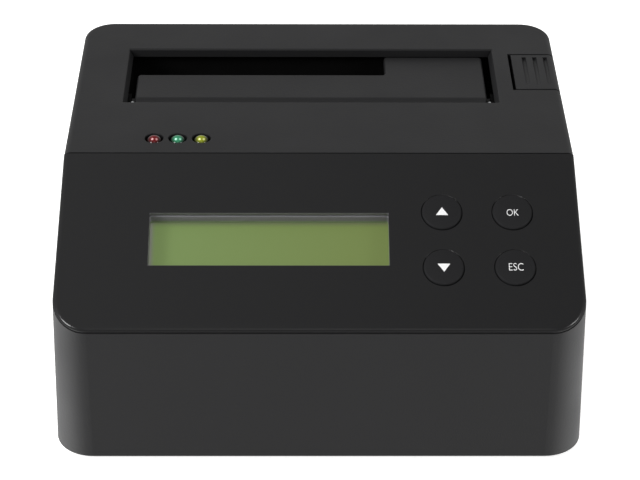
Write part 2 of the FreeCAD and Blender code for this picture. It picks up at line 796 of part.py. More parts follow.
def led_holder():
    """Spacer under the lamps, with a hole for each lead."""
    middle = LED_X + LED_PITCH
    y = from_rear(LED_FROM_REAR)
    high = Z_TOP - LED_BODY - LED_FLANGE_T
    long, wide = (size / 2 for size in LED_HOLDER_SIZE)
    low = Z_TOP - LED_BOARD_DROP
    holder = block((middle - long, middle + long), (y - wide, y + wide), (low, high))
    holes = []
    for i in range(3):
        x = LED_X + i * LED_PITCH
        for lead in (x - LEAD_PITCH / 2, x + LEAD_PITCH / 2):
            holes.append(rod(LEAD_W, (lead, y, low - 1), (lead, y, high + 1)))
    return holder.cut(holes)


def led_board():
    middle = LED_X + LED_PITCH
    y = from_rear(LED_FROM_REAR)
    top = Z_TOP - LED_BOARD_DROP
    long, wide = (size / 2 for size in LED_BOARD_SIZE)
    board = block((middle - long, middle + long), (y - wide, y + wide), (top - BOARD_T, top))
    holes = [rod(SCREW_R + 0.2, (x, py, top - BOARD_T - 1), (x, py, top + 1)) for x, py in led_posts()]
    return board.cut(holes)


def drive_well():
    """Open-topped liner that guides the drive, carries the lever and the spring shelf."""
    outer_x = (WELL_X[0] - WELL_WALL, WELL_X[1] + WELL_WALL)
    front_y = from_rear(WELL_FRONT + WELL_WALL)
    rear_y = from_rear(WELL_REAR - WELL_WALL)
    outer = rounded_plate(outer_x, (front_y, rear_y), (FLOOR_UNDER, Z_CEILING), WELL_WALL)
    throat = rounded_plate(outer_x, (front_y, rear_y + THROAT_BACK), (THROAT_Z, Z_CEILING), WELL_WALL)
    well = outer.fuse(throat).cut([
        rear_block(WELL_X, (WELL_REAR, WELL_FRONT), (WELL_FLOOR_Z, Z_TOP)),
        rear_block(WELL_X, (WELL_REAR - THROAT_BACK, WELL_FRONT), (THROAT_Z + WELL_WALL, Z_TOP)),
    ])
    added = []
    for side, x in ((1, WELL_X[0]), (-1, WELL_X[1])):
        tip = x + side * GUIDE_RIB_STAND
        rise = WELL_FLOOR_Z + GUIDE_RIB_RISE
        for d in (30.0, 41.0):
            added.append(polygon([
                (x - side * 0.5, from_rear(d), FLOOR_UNDER + 0.5),
                (tip, from_rear(d), FLOOR_UNDER + 0.5),
                (tip, from_rear(d), rise - 5.0),
                (x, from_rear(d), rise),
                (x - side * 0.5, from_rear(d), rise),
            ]).extrude(Vector(0, GUIDE_RIB_W, 0)))
        added.append(rear_block((x - side * 0.5, x + side * WELL_STOP), (36.0, 41.0),
                                (STOP_Z + STOP_GAP, STOP_Z + STOP_GAP + 1.0)))
    for d in (LEVER_REAR - LEVER_SIDE_FIT - 2.5, LEVER_REAR + LEVER_W + LEVER_SIDE_FIT):
        ear = rear_block((PIVOT_X - 4.5, PIVOT_X + 4.5), (d, d + 2.5),
                         (LEVER_PIVOT_Z, FLOOR_UNDER + 0.5))
        tip = rod(4.5, (PIVOT_X, from_rear(d), LEVER_PIVOT_Z),
                  (PIVOT_X, from_rear(d + 2.5), LEVER_PIVOT_Z))
        added.append(ear.fuse(tip))
    x1 = WELL_X[1] + WELL_WALL
    shelf_d = (EJECT_SPRING_FROM_REAR + 3.8, STEM_FROM_REAR - STEM_W / 2 - 2.0)
    added.append(rear_block((x1 - 0.5, STEM_X + 4.0), shelf_d, (SHELF_Z - SHELF_T, SHELF_Z)))
    for d in (shelf_d[0], shelf_d[1] + 1.6):
        added.append(polygon([
            (x1 - 0.5, from_rear(d), SHELF_Z - 0.5),
            (STEM_X + 3.0, from_rear(d), SHELF_Z - 0.5),
            (STEM_X + 3.0, from_rear(d), SHELF_Z - SHELF_T),
            (x1 - 0.5, from_rear(d), SHELF_Z - SHELF_T - 9.0),
        ]).extrude(Vector(0, 1.6, 0)))
    added.append(rod(EJECT_SPRING_R - EJECT_SPRING_WIRE_R - 0.3,
                     (STEM_X, from_rear(EJECT_SPRING_FROM_REAR), SHELF_Z - 0.5),
                     (STEM_X, from_rear(EJECT_SPRING_FROM_REAR), SHELF_Z + 3.0)))
    for x, y in sata_board_posts():
        added.append(rod(SMALL_BOSS_R, (x, y, SATA_BOARD_TOP), (x, y, FLOOR_UNDER + 0.5)))
    well = well.fuse(added)
    cuts = []
    slot_x = (PIVOT_X - LEVER_REACH - 1.5, SPAN)
    slot_d = (LEVER_REAR - LEVER_SIDE_FIT, LEVER_REAR + LEVER_W + LEVER_SIDE_FIT)
    cuts.append(rear_block(slot_x, slot_d, (FLOOR_UNDER - 0.01, WELL_FLOOR_Z + 0.8)))
    cuts.append(rear_block(
        (SATA_X - SATA_LENGTH / 2 - 0.5, SATA_X + SATA_LENGTH / 2 + 0.5),
        (SATA_FROM_REAR - SATA_W / 2 - 0.5, SATA_FROM_REAR + SATA_W / 2 + 0.5),
        (FLOOR_UNDER - 1, WELL_FLOOR_Z + 1),
    ))
    half = STEM_W / 2 + STEM_FIT
    cuts.append(rear_block((STEM_X - half, STEM_X + half),
                           (STEM_FROM_REAR - half, STEM_FROM_REAR + half),
                           (SHELF_Z - SHELF_T - 1, SHELF_Z + 1)))
    y = from_rear(HINGE_FROM_REAR)
    cuts.append(rod(HINGE_ROD_R + FIXED_FIT, (-SPAN, y, HINGE_Z), (SPAN, y, HINGE_Z)))
    cuts.append(rod(LEVER_PIN_R + FIXED_FIT, (PIVOT_X, from_rear(LEVER_REAR - 4), LEVER_PIVOT_Z),
                    (PIVOT_X, from_rear(LEVER_REAR + LEVER_W + 4), LEVER_PIVOT_Z)))
    pilot = SCREW_R + SCREW_FIT
    for x, y in sata_board_posts():
        cuts.append(rod(pilot, (x, y, SATA_BOARD_TOP - 1), (x, y, WELL_FLOOR_Z - 0.4)))
    return well.cut(cuts).removeSplitter()


def flap_knuckles():
    """X limits of the hinge knuckles: one at each end and one in the middle."""
    middle = (FLAP_X[0] + FLAP_X[1]) / 2
    return [
        (FLAP_X[0], FLAP_X[0] + KNUCKLE_W),
        (middle - KNUCKLE_W / 2, middle + KNUCKLE_W / 2),
        (FLAP_X[1] - KNUCKLE_W, FLAP_X[1]),
    ]


def drive_flap():
    """L-shaped sprung flap: rounded nose, hinge knuckles, ribs below, stops at its ends."""
    axis_y = from_rear(HINGE_FROM_REAR)
    nose_y = axis_y + FLAP_NOSE_GAP
    rear_y = from_rear(SLOT_REAR + FLAP_REAR_GAP)
    notch_y = from_rear(SLOT_REAR + DRIVE_25_SLOT)
    plate = block(FLAP_X, (nose_y, rear_y), (FLAP_UNDER, FLAP_TOP))
    plate = plate.cut(block((FLAP_X[0] - 1, NOTCH_X), (notch_y, rear_y + 1),
                            (FLAP_UNDER - 1, FLAP_TOP + 1)))
    corners = []
    for e in plate.Edges:
        if abs(e.tangentAt(e.FirstParameter).z) > 0.99 and e.CenterOfMass.y > nose_y + 1:
            corners.append(e)
    plate = plate.makeFillet(FLAP_CORNER_R, corners)
    front = []
    for e in plate.Edges:
        if all(abs(v.Z - FLAP_TOP) + abs(v.Y - nose_y) < 1e-6 for v in e.Vertexes):
            front.append(e)
    plate = plate.makeFillet(FLAP_T - 0.05, front)
    edges = []
    for e in plate.Edges:
        level = all(abs(v.Z - FLAP_TOP) < 1e-6 for v in e.Vertexes)
        if level and e.CenterOfMass.y > nose_y + FLAP_T + 0.5:
            edges.append(e)
    plate = plate.makeFillet(FLAP_EDGE_R, edges)
    added = []
    for x0, x1 in flap_knuckles():
        barrel = rod(KNUCKLE_R, (x0, axis_y, HINGE_Z), (x1, axis_y, HINGE_Z))
        arm = block((x0, x1), (axis_y, nose_y + 3.0), (HINGE_Z - KNUCKLE_R, FLAP_UNDER + 0.2))
        added.append(barrel.fuse(arm))
    for i in range(FLAP_RIBS):
        x = FLAP_X[0] + (FLAP_X[1] - FLAP_X[0]) * (i + 0.5) / FLAP_RIBS
        far = rear_y - 1.5 if x > NOTCH_X else notch_y - 1.5
        added.append(block((x - FLAP_RIB_T / 2, x + FLAP_RIB_T / 2), (nose_y + 1.0, far),
                           (FLAP_UNDER - FLAP_RIB_DROP, FLAP_UNDER + 0.3)))
    for side, x in ((-1, FLAP_X[0]), (1, FLAP_X[1])):
        added.append(rear_block((x - side * 1.6, x), (37.0, 40.0), (STOP_Z - 1.0, FLAP_UNDER + 0.3)))
        added.append(rear_block((x - side * 1.6, x + side * FLAP_STOP), (37.0, 40.0),
                                (STOP_Z - 1.0, STOP_Z)))
    bore = rod(HINGE_ROD_R + HINGE_FIT, (-SPAN, axis_y, HINGE_Z), (SPAN, axis_y, HINGE_Z))
    return plate.fuse(added).cut(bore).removeSplitter()


def hinge_clips():
    """Two spring clips on the hinge rod that keep the flap in the middle of the slot."""
    y = from_rear(HINGE_FROM_REAR)
    clips = []
    for x0 in (FLAP_X[0] - CLIP_T - STOP_GAP, FLAP_X[1] + STOP_GAP):
        disc = rod(CLIP_R, (x0, y, HINGE_Z), (x0 + CLIP_T, y, HINGE_Z))
        bore = rod(HINGE_ROD_R + FIXED_FIT, (x0 - 1, y, HINGE_Z), (x0 + 2, y, HINGE_Z))
        mouth = block((x0 - 1, x0 + 2), (y - 5, y - 0.6), (HINGE_Z - 0.9, HINGE_Z + 5))
        clips.append(disc.cut([bore, mouth]))
    return Part.makeCompound(clips)


def flap_hinge_rod():
    y = from_rear(HINGE_FROM_REAR)
    return rod(HINGE_ROD_R, (WELL_X[0] - WELL_WALL, y, HINGE_Z), (WELL_X[1] + WELL_WALL, y, HINGE_Z))


def flap_spring():
    """Torsion spring on the hinge rod, one leg under the flap and one on the well."""
    wound = coil(FLAP_SPRING_R, FLAP_SPRING_WIRE_R, FLAP_SPRING_TURNS, FLAP_SPRING_PITCH)
    wound.rotate(Vector(0, 0, 0), Vector(0, 1, 0), 90)
    y = from_rear(HINGE_FROM_REAR)
    wound.translate(Vector(FLAP_SPRING_X, y, HINGE_Z))
    wire = FLAP_SPRING_WIRE_R
    x0 = FLAP_SPRING_X
    x1 = x0 + FLAP_SPRING_TURNS * FLAP_SPRING_PITCH
    low = HINGE_Z - FLAP_SPRING_R
    wall_y = from_rear(WELL_FRONT) + wire + 0.1
    plate_z = FLAP_UNDER - wire - STOP_GAP
    legs = [
        rod(wire, (x0, y, low), (x0, wall_y, low)),
        Part.makeSphere(wire, Vector(x0, wall_y, low)),
        rod(wire, (x0, wall_y, low), (x0, wall_y, low - FLAP_SPRING_LEG)),
        rod(wire, (x1, y, low), (x1, y + FLAP_SPRING_LEG, plate_z)),
    ]
    return wound.fuse(legs).removeSplitter()


def eject_button():
    """Cap flush with the top and the side: three grooves that run out, apron, push stem."""
    ends = (BUTTON_REAR, BUTTON_REAR + BUTTON_LENGTH)
    cap = housing_body().common(rear_block((BUTTON_X, SPAN), ends, (Z_TOP - BUTTON_SKIRT, SPAN)))
    hollow = rear_block((BUTTON_X + 1.8, BODY_WIDTH / 2 - WALL - 1.7), (ends[0] + 1.8, ends[1] - 1.8),
                        (0, Z_TOP - BUTTON_T))
    cap = cap.cut(hollow)
    apron_x = (BODY_WIDTH / 2 - WALL - 1.7, BODY_WIDTH / 2 - WALL - 0.3)
    low = SHELF_Z + BUTTON_TRAVEL + 0.6
    apron = rear_block(apron_x, (ends[0] + 0.8, ends[1] - 0.8), (low, Z_TOP - BUTTON_SKIRT + 1))
    half = STEM_W / 2
    nose = LEVER_PAD_TOP + LEVER_NOSE_GAP
    y0 = from_rear(STEM_FROM_REAR + half)
    stem = rear_block((STEM_X - half, STEM_X + half), (STEM_FROM_REAR - half, STEM_FROM_REAR + half),
                      (nose + half, Z_TOP - BUTTON_T + 0.5))
    round_end = rod(half, (STEM_X, y0, nose + half), (STEM_X, y0 + STEM_W, nose + half))
    cap = cap.fuse([apron, stem, round_end])
    middle = (ends[0] + ends[1]) / 2 - 0.8
    cuts = []
    for i in range(3):
        x = BODY_WIDTH / 2 - GROOVE_FROM_EDGE + i * GROOVE_PITCH
        deep = (x, from_rear(middle - GROOVE_L / 2), Z_TOP + GROOVE_R - GROOVE_DEPTH)
        shallow = (x, from_rear(middle + GROOVE_L / 2), Z_TOP + GROOVE_R - GROOVE_RUNOUT)
        cuts.append(rod(GROOVE_R, shallow, deep))
    return cap.cut(cuts).removeSplitter()


def eject_lever():
    """Rocking lever: a pad under the button stem, a long arm under the drive."""
    y = from_rear(LEVER_REAR + LEVER_W)
    pad = STEM_X - PIVOT_X + 4.0
    side = polygon([
        (-LEVER_REACH, y, 2.2),
        (-LEVER_REACH, y, 4.0),
        (-LEVER_REACH + 1.1, y, 5.1),
        (2.0, y, 5.1),
        (5.0, y, 3.5),
        (pad, y, 3.5),
        (pad, y, 1.0),
        (3.6, y, -2.2),
        (-3.6, y, -2.2),
    ]).extrude(Vector(0, LEVER_W, 0))
    hub = rod(LEVER_HUB_R, (0, y, 0), (0, y + LEVER_W, 0))
    wide = block((pad - 8.5, pad), (from_rear(STEM_FROM_REAR + 5.0), y + LEVER_W), (1.0, 3.5))
    lever = side.fuse([hub, wide])
    lever = lever.cut(rod(LEVER_PIN_R + LEVER_PIN_FIT, (0, y - 1, 0), (0, y + LEVER_W + 1, 0)))
    return moved(lever.removeSplitter(), PIVOT_X, 0, LEVER_PIVOT_Z)


def eject_lever_pin():
    d0 = LEVER_REAR - LEVER_SIDE_FIT - 2.5
    d1 = LEVER_REAR + LEVER_W + LEVER_SIDE_FIT + 2.5
    return rod(LEVER_PIN_R, (PIVOT_X, from_rear(d0), LEVER_PIVOT_Z),
               (PIVOT_X, from_rear(d1), LEVER_PIVOT_Z))


def eject_spring():
    """Compression spring from the shelf to the inside of the button."""
    free = Z_TOP - BUTTON_T - SHELF_Z - 2 * EJECT_SPRING_WIRE_R - 0.1
    spring = coil(EJECT_SPRING_R, EJECT_SPRING_WIRE_R, EJECT_SPRING_TURNS, free / EJECT_SPRING_TURNS)
    z = SHELF_Z + EJECT_SPRING_WIRE_R + 0.05
    return moved(spring, STEM_X, from_rear(EJECT_SPRING_FROM_REAR), z)


def main_board():
    board = rear_block((-MAIN_BOARD_X, MAIN_BOARD_X), (MAIN_BOARD_REAR, MAIN_BOARD_FRONT),
                       (MAIN_BOARD_UNDER, MAIN_BOARD_TOP))
    holes = [rod(SCREW_R + 0.2, (x, y, MAIN_BOARD_UNDER - 1), (x, y, MAIN_BOARD_TOP + 1))
             for x, y in main_board_posts()]
    return board.cut(holes)


def flipped(shape):
    """Turn a piece upside down about the X axis."""
    copy = shape.copy()
    copy.rotate(Vector(0, 0, 0), Vector(1, 0, 0), 180)
    return copy


def main_board_screws():
    return Part.makeCompound([
        moved(flipped(board_screw()), x, y, MAIN_BOARD_TOP) for x, y in main_board_posts()
    ])


def base_plate():
    """Bottom cover with screw pillars, board standoffs and seats for the feet."""
    plate = drafted_block(BASE_BOTTOM, BASE_TOP, WALL + BASE_FIT)
    added = []
    cuts = []
    for x, y in case_screw_places():
        added.append(rod(PILLAR_R, (x, y, BASE_BOTTOM + 1), (x, y, PILLAR_TOP)))
        cuts.append(rod(1.7, (x, y, 0), (x, y, PILLAR_TOP + 1)))
        cuts.append(rod(3.2, (x, y, 0), (x, y, BASE_BOTTOM + 3.2)))
    for x, y in main_board_posts():
        added.append(rod(3.0, (x, y, BASE_BOTTOM + 1), (x, y, MAIN_BOARD_UNDER)))
        cuts.append(rod(SCREW_R + SCREW_FIT, (x, y, BASE_BOTTOM + 1.6), (x, y, MAIN_BOARD_UNDER + 1)))
    for x, y in foot_places():
        cuts.append(rod(FOOT_R + 0.2, (x, y, 0), (x, y, BASE_BOTTOM + FOOT_SEAT)))
    return plate.fuse(added).cut(cuts).removeSplitter()


def foot_places():
    grown = BODY_WIDTH / 2 - 68.5
    return [
        (side * (FOOT_X + grown), from_rear(d))
        for side in (-1, 1)
        for d in (FOOT_INSET, BODY_DEPTH - FOOT_INSET)
    ]


def rubber_feet():
    high = BASE_BOTTOM + FOOT_SEAT
    section = [(0, 0), (FOOT_R - 0.9, 0), (FOOT_R - 0.3, 0.5), (FOOT_R, high), (0, high)]
    return Part.makeCompound([moved(revolve_up(section), x, y, 0) for x, y in foot_places()])


def case_screws():
    seat = BASE_BOTTOM + 3.2
    body = screw(2.8, 2.0, 1.5, 11.0).cut(cross_recess(2.8, 2.0))
    return Part.makeCompound([moved(body, x, y, seat) for x, y in case_screw_places()])


def sata_slots():
    """Two mating slots of the drive connector: short for data, long for power."""
    y = from_rear(SATA_FROM_REAR)
    left = SATA_X - SATA_LENGTH / 2
    data = block((left + 4.2, left + 14.6), (y - 0.9, y + 1.5), (SATA_TOP - 6.0, SATA_TOP + 1))
    power = block((left + 17.2, left + 37.8), (y - 0.9, y + 1.5), (SATA_TOP - 6.0, SATA_TOP + 1))
    return [data, power]


def sata_connector():
    """Upright drive connector that stands up through the floor of the well."""
    y = from_rear(SATA_FROM_REAR)
    x0 = SATA_X - SATA_LENGTH / 2
    x1 = SATA_X + SATA_LENGTH / 2
    body = block((x0, x1), (y - SATA_W / 2, y + SATA_W / 2), (SATA_BOARD_TOP, SATA_TOP))
    guide = block((x0 - 1, x0 + 2.2), (y - SATA_W, y - 1.2), (WELL_FLOOR_Z + 0.5, SATA_TOP + 1))
    other = block((x1 - 2.2, x1 + 1), (y - SATA_W, y - 1.2), (WELL_FLOOR_Z + 0.5, SATA_TOP + 1))
    return body.cut(sata_slots() + [guide, other])


def sata_contacts():
    """Row of spring contacts against the front wall of each slot."""
    y = from_rear(SATA_FROM_REAR)
    left = SATA_X - SATA_LENGTH / 2
    strips = []
    for start, count in ((left + 5.6, 7), (left + 18.6, 15)):
        for i in range(count):
            x = start + i * 1.27
            strips.append(block((x - 0.3, x + 0.3), (y - 0.9, y - 0.6),
                                (SATA_TOP - 6.0, SATA_TOP - 0.8)))
    return Part.makeCompound(strips)


def sata_board():
    d = (SATA_FROM_REAR - 5.6, SATA_FROM_REAR + 7.2)
    reach = SATA_LENGTH / 2 + 5.0
    board = rear_block((SATA_X - reach, SATA_X + reach), d, (SATA_BOARD_TOP - BOARD_T, SATA_BOARD_TOP))
    holes = [rod(SCREW_R + 0.2, (x, y, SATA_BOARD_TOP - BOARD_T - 1), (x, y, SATA_BOARD_TOP + 1))
             for x, y in sata_board_posts()]
    return board.cut(holes)


def sata_board_screws():
    short = screw(SCREW_HEAD_R, SCREW_HEAD_H, SCREW_R, SATA_BOARD_DROP + BOARD_T + 1.2)
    return Part.makeCompound([
        moved(short, x, y, SATA_BOARD_TOP - BOARD_T) for x, y in sata_board_posts()
    ])


def board_header():
    y = from_rear(SATA_FROM_REAR)
    return block((SATA_X - 10, SATA_X + 10), (y - 2.5, y + 2.5),
                 (MAIN_BOARD_TOP, SATA_BOARD_TOP - BOARD_T))


def chip(x, distance, size, high):
    """Square chip package with bevelled upper edges."""
    y = from_rear(distance)
    half = size / 2
    body = block((x - half, x + half), (y - half, y + half),
                 (MAIN_BOARD_TOP, MAIN_BOARD_TOP + high))
    top = [e for e in body.Edges if all(abs(v.Z - MAIN_BOARD_TOP - high) < 1e-6 for v in e.Vertexes)]
    return body.makeChamfer(high * 0.25, top)


def capacitors():
    cans = []
    for x in (24.0, 33.0):
        y = from_rear(68.0)
        can = revolve_up([(0, 0), (3.15, 0), (3.15, 7.2), (2.65, 7.7), (0, 7.7)])
        cans.append(moved(can, x, y, MAIN_BOARD_TOP))
    return Part.makeCompound(cans)


def buzzer():
    y = from_rear(66.0)
    can = rod(4.8, (-34.0, y, MAIN_BOARD_TOP), (-34.0, y, MAIN_BOARD_TOP + 5.0))
    return can.cut(rod(1.0, (-34.0, y, MAIN_BOARD_TOP + 3.5), (-34.0, y, MAIN_BOARD_TOP + 6)))


def ribbon_path():
    """Corner points of the flat cable in the middle plane of its width."""
    start = SLOPE.multVec(Vector(LCD_X, -LCD_U - 12.0, -BOARD_SINK - BOARD_T - 2.0))
    level = MAIN_BOARD_TOP + 1.2
    lean = math.radians(SLOPE_DEG)
    fall = (start.z - level) / math.cos(lean)
    corner = Vector(LCD_X, start.y + fall * math.sin(lean), level)
    end = Vector(LCD_X, from_rear(MAIN_BOARD_FRONT - 2.0), level)
    return start, corner, end


def ribbon_cable():
    """Flat cable: straight off the display board, one bend, level to the main board."""
    start, corner, end = ribbon_path()
    lean = math.radians(SLOPE_DEG)
    turn = math.pi / 2 - lean
    cut = RIBBON_BEND * math.tan(turn / 2)
    down = Vector(0, math.sin(lean), -math.cos(lean))
    a = corner - down * cut
    centre = Vector(LCD_X, corner.y + cut, corner.z + RIBBON_BEND)
    b = Vector(LCD_X, corner.y + cut, corner.z)
    half = RIBBON_T / 2
    outward = (a - centre) * (1.0 / RIBBON_BEND)
    mid = outward + Vector(0, 0, -1)
    mid = mid * (1.0 / mid.Length)
    x = Vector(LCD_X - RIBBON_W / 2, 0, 0) - Vector(LCD_X, 0, 0)
    edges = []
    outer_r = RIBBON_BEND + half
    inner_r = RIBBON_BEND - half
    p = [start + outward * half, centre + outward * outer_r, centre + mid * outer_r,
         centre + Vector(0, 0, -outer_r), end + Vector(0, 0, -half),
         end + Vector(0, 0, half), centre + Vector(0, 0, -inner_r), centre + mid * inner_r,
         centre + outward * inner_r, start - outward * half]
    p = [v + x for v in p]
    edges.append(Part.LineSegment(p[0], p[1]).toShape())
    edges.append(Part.Arc(p[1], p[2], p[3]).toShape())
    edges.append(Part.LineSegment(p[3], p[4]).toShape())
    edges.append(Part.LineSegment(p[4], p[5]).toShape())
    edges.append(Part.LineSegment(p[5], p[6]).toShape())
    edges.append(Part.Arc(p[6], p[7], p[8]).toShape())
    edges.append(Part.LineSegment(p[8], p[9]).toShape())
    edges.append(Part.LineSegment(p[9], p[0]).toShape())
    return Part.Face(Part.Wire(edges)).extrude(Vector(RIBBON_W, 0, 0))


def ribbon_sockets():
    """One socket under the display board and one on the main board."""
    half = RIBBON_W / 2 + 1.5
    seat = -BOARD_SINK - BOARD_T
    upper = block((LCD_X - half, LCD_X + half), (-LCD_U - 13.6, -LCD_U - 10.4), (seat - 2.0, seat))
    start, corner, end = ribbon_path()
    lower = block((LCD_X - half, LCD_X + half), (end.y, end.y + 5.0),
                  (MAIN_BOARD_TOP, MAIN_BOARD_TOP + 2.4))
    return Part.makeCompound([on_slope(upper), lower])


def power_inlet():
    """Round power inlet on the main board with a nose in the back wall."""
    y = Y_REAR + IO_BACK
    body = block((INLET_X - 4.5, INLET_X + 4.5), (y - 12.0, y), (MAIN_BOARD_TOP, MAIN_BOARD_TOP + 11.0))
    nose = rod(3.9, (INLET_X, y - 0.5, INLET_Z), (INLET_X, Y_REAR + IO_FACE - 0.2, INLET_Z))
    bore = rod(2.9, (INLET_X, y - 8.0, INLET_Z), (INLET_X, y + 5, INLET_Z))
    return body.fuse(nose).removeSplitter().cut(bore)


def power_inlet_pin():
    y = Y_REAR + IO_BACK
    pin = rod(1.0, (INLET_X, y - 8.0, INLET_Z), (INLET_X, y + 0.6, INLET_Z))
    tip = [e for e in pin.Edges if all(abs(v.Y - y - 0.6) < 1e-6 for v in e.Vertexes)]
    return pin.makeChamfer(0.4, tip)


def usb_shell():
    """Folded metal shell of the data port."""
    y = Y_REAR + IO_FACE - 0.3
    skin = usb_section(USB_SKIN, y).extrude(Vector(0, -USB_DEPTH, 0))
    return skin.cut(usb_section(0, y + 1).extrude(Vector(0, -USB_DEPTH - 2, 0)))


def usb_insert():
    """Plastic core of the data port with its two tongues."""
    y = Y_REAR + IO_FACE - 0.3
    core = usb_section(-0.05, y - 9.0).extrude(Vector(0, -USB_DEPTH + 9.0, 0))
    floor = MAIN_BOARD_TOP + USB_SKIN
    lower = block((USB_X - 2.8, USB_X + 2.8), (y - 9.5, y - 1.2), (floor + 2.3, floor + 5.5))
    upper = block((USB_X - 2.3, USB_X + 2.3), (y - 9.5, y - 1.6), (floor + 8.3, floor + 9.5))
    return core.fuse([lower, upper]).removeSplitter()


def serial_shell():
    """Metal flange and D-shaped skirt of the serial port."""
    y = Y_REAR + IO_BACK
    flange = rounded_plate((-15.4, 15.4), (-6.2, 6.2), (0, 1.0), 1.2)
    flange.rotate(Vector(0, 0, 0), Vector(1, 0, 0), 90)
    flange.translate(Vector(SERIAL_X, y, SERIAL_Z))
    skirt = serial_block(0, y - 0.5, y + 5.9)
    shell = flange.fuse(skirt)
    cuts = [serial_block(-0.5, y - 2, y + 7)]
    for x, z in serial_posts():
        cuts.append(rod(1.6, (x, y - 2, z), (x, y + 1, z)))
    return shell.cut(cuts).removeSplitter()


def serial_insert():
    """Plastic block behind the flange with the pin face inside the skirt."""
    y = Y_REAR + IO_BACK
    back = block((SERIAL_X - 9.5, SERIAL_X + 9.5), (y - 12.0, y - 1.0),
                 (MAIN_BOARD_TOP, SERIAL_Z + 5.2))
    face = serial_block(-0.55, y - 1.5, y + 0.8)
    return back.fuse(face).removeSplitter()


def serial_pins():
    y = Y_REAR + IO_BACK + 0.8
    pins = []
    for count, dz in ((5, 1.42), (4, -1.42)):
        for i in range(count):
            x = SERIAL_X + (i - (count - 1) / 2) * 2.77
            pins.append(rod(0.5, (x, y, SERIAL_Z + dz), (x, y + 4.4, SERIAL_Z + dz)))
    return Part.makeCompound(pins)


def serial_jack_posts():
    """Two hexagonal posts with a threaded hole, screwed through the back wall."""
    y = Y_REAR + IO_FACE
    posts = []
    for x, z in serial_posts():
        hexagon = [
            (x + 2.75 * math.cos(math.radians(60 * i)), y, z + 2.75 * math.sin(math.radians(60 * i)))
            for i in range(6)
        ]
        post = polygon(hexagon).extrude(Vector(0, POST_LENGTH, 0))
        post = post.fuse(rod(1.5, (x, y - 6.0, z), (x, y + 0.5, z)))
        posts.append(post.removeSplitter().cut(rod(POST_HOLE_R, (x, y - 1.0, z), (x, y + 9, z))))
    return Part.makeCompound(posts)


def switch_body():
    """Rocker switch case with a bezel on the back wall and a cradle for the rocker."""
    y = Y_REAR + IO_FACE
    bezel = switch_block(0, y, y + 1.6)
    edges = [e for e in bezel.Edges if all(abs(v.Y - y - 1.6) < 1e-6 for v in e.Vertexes)]
    bezel = bezel.makeFillet(0.6, edges)
    case = switch_block(-0.9, y - 11.0, y + 0.5)
    body = bezel.fuse(case)
    mouth = switch_block(-1.7, y - 6.0, y + 3)
    body = body.cut(mouth).removeSplitter()
    blades = []
    for dx in (-4.0, 4.0):
        x = SWITCH_X + dx
        blades.append(block((x - 1.2, x + 1.2), (y - 13.5, y - 10.5), (SWITCH_Z - 0.4, SWITCH_Z + 0.4)))
    pins = rod(0.9, (SWITCH_X, y - 0.6, SWITCH_Z - 4.4), (SWITCH_X, y - 0.6, SWITCH_Z + 4.4))
    return body.fuse(blades + [pins]).removeSplitter()


def power_rocker():
    """Rocker with two flat wings meeting over its pivot, resting on the off side."""
    y = Y_REAR + IO_FACE - 0.6
    half = SWITCH_W / 2 - 1.7 - 0.35
    z0 = SWITCH_Z - SWITCH_HIGH / 2 + 1.7 + 0.25
    z1 = SWITCH_Z + SWITCH_HIGH / 2 - 1.7 - 0.25
    lean = math.tan(math.radians(ROCK_DEG / 2))
    crest = 2.6
    section = polygon([
        (-half, crest - 0.2 - half * lean, z0),
        (0, crest - 0.2, z0),
        (half, crest - 0.2 - half * lean, z0),
        (half - 0.4, -1.2, z0),
        (2.2, -3.4, z0),
        (-2.2, -3.4, z0),
        (-half + 0.4, -1.2, z0),
    ])
    rocker = section.extrude(Vector(0, 0, z1 - z0))
    rocker = rocker.cut(rod(0.9 + 0.05, (0, 0, z0 - 1), (0, 0, z1 + 1)))
    rocker.rotate(Vector(0, 0, 0), Vector(0, 0, 1), ROCK_DEG / 2)
    return moved(rocker, SWITCH_X, y, 0)


def build():
    """Every piece by node name."""
    names = ("up", "down", "ok", "esc")
    pieces = {
        "housing_shell": housing_shell(),
        "base_plate": base_plate(),
        "rubber_feet": rubber_feet(),
        "case_screws": case_screws(),
        "control_panel": control_panel(),
        "lcd_window": lcd_window(),
        "lcd_gasket": lcd_gasket(),
        "lcd_frame": lcd_frame(),
        "lcd_glass": lcd_glass(),
        "lcd_backlight": lcd_backlight(),
        "lcd_board": lcd_board(),
        "panel_screws": panel_screws(),
        "key_board": key_board(),
        "key_switches": key_switches(),
        "led_red": led(0),
        "led_green": led(1),
        "led_yellow": led(2),
        "led_holder": led_holder(),
        "led_board": led_board(),
        "drive_well": drive_well(),
        "drive_flap": drive_flap(),
        "flap_hinge_rod": flap_hinge_rod(),
        "hinge_clips": hinge_clips(),
        "flap_spring": flap_spring(),
        "eject_button": eject_button(),
        "eject_lever": eject_lever(),
        "eject_lever_pin": eject_lever_pin(),
        "eject_spring": eject_spring(),
        "sata_connector": sata_connector(),
        "sata_contacts": sata_contacts(),
        "sata_board": sata_board(),
        "sata_board_screws": sata_board_screws(),
        "board_header": board_header(),
        "main_board": main_board(),
        "main_board_screws": main_board_screws(),
        "controller_chip": chip(0.0, 66.0, 14.0, 1.4),
        "bridge_chip": chip(2.0, 30.0, 9.0, 1.0),
        "capacitors": capacitors(),
        "buzzer": buzzer(),
        "ribbon_cable": ribbon_cable(),
        "ribbon_sockets": ribbon_sockets(),
        "power_inlet": power_inlet(),
        "power_inlet_pin": power_inlet_pin(),
        "usb_shell": usb_shell(),
        "usb_insert": usb_insert(),
        "serial_shell": serial_shell(),
        "serial_insert": serial_insert(),
        "serial_pins": serial_pins(),
        "serial_jack_posts": serial_jack_posts(),
        "switch_body": switch_body(),
        "power_rocker": power_rocker(),
    }
    for name, place in zip(names, key_places()):
        pieces[name + "_key"] = key_cap(place)
        pieces[name + "_key_plunger"] = key_plunger(place)
    return pieces


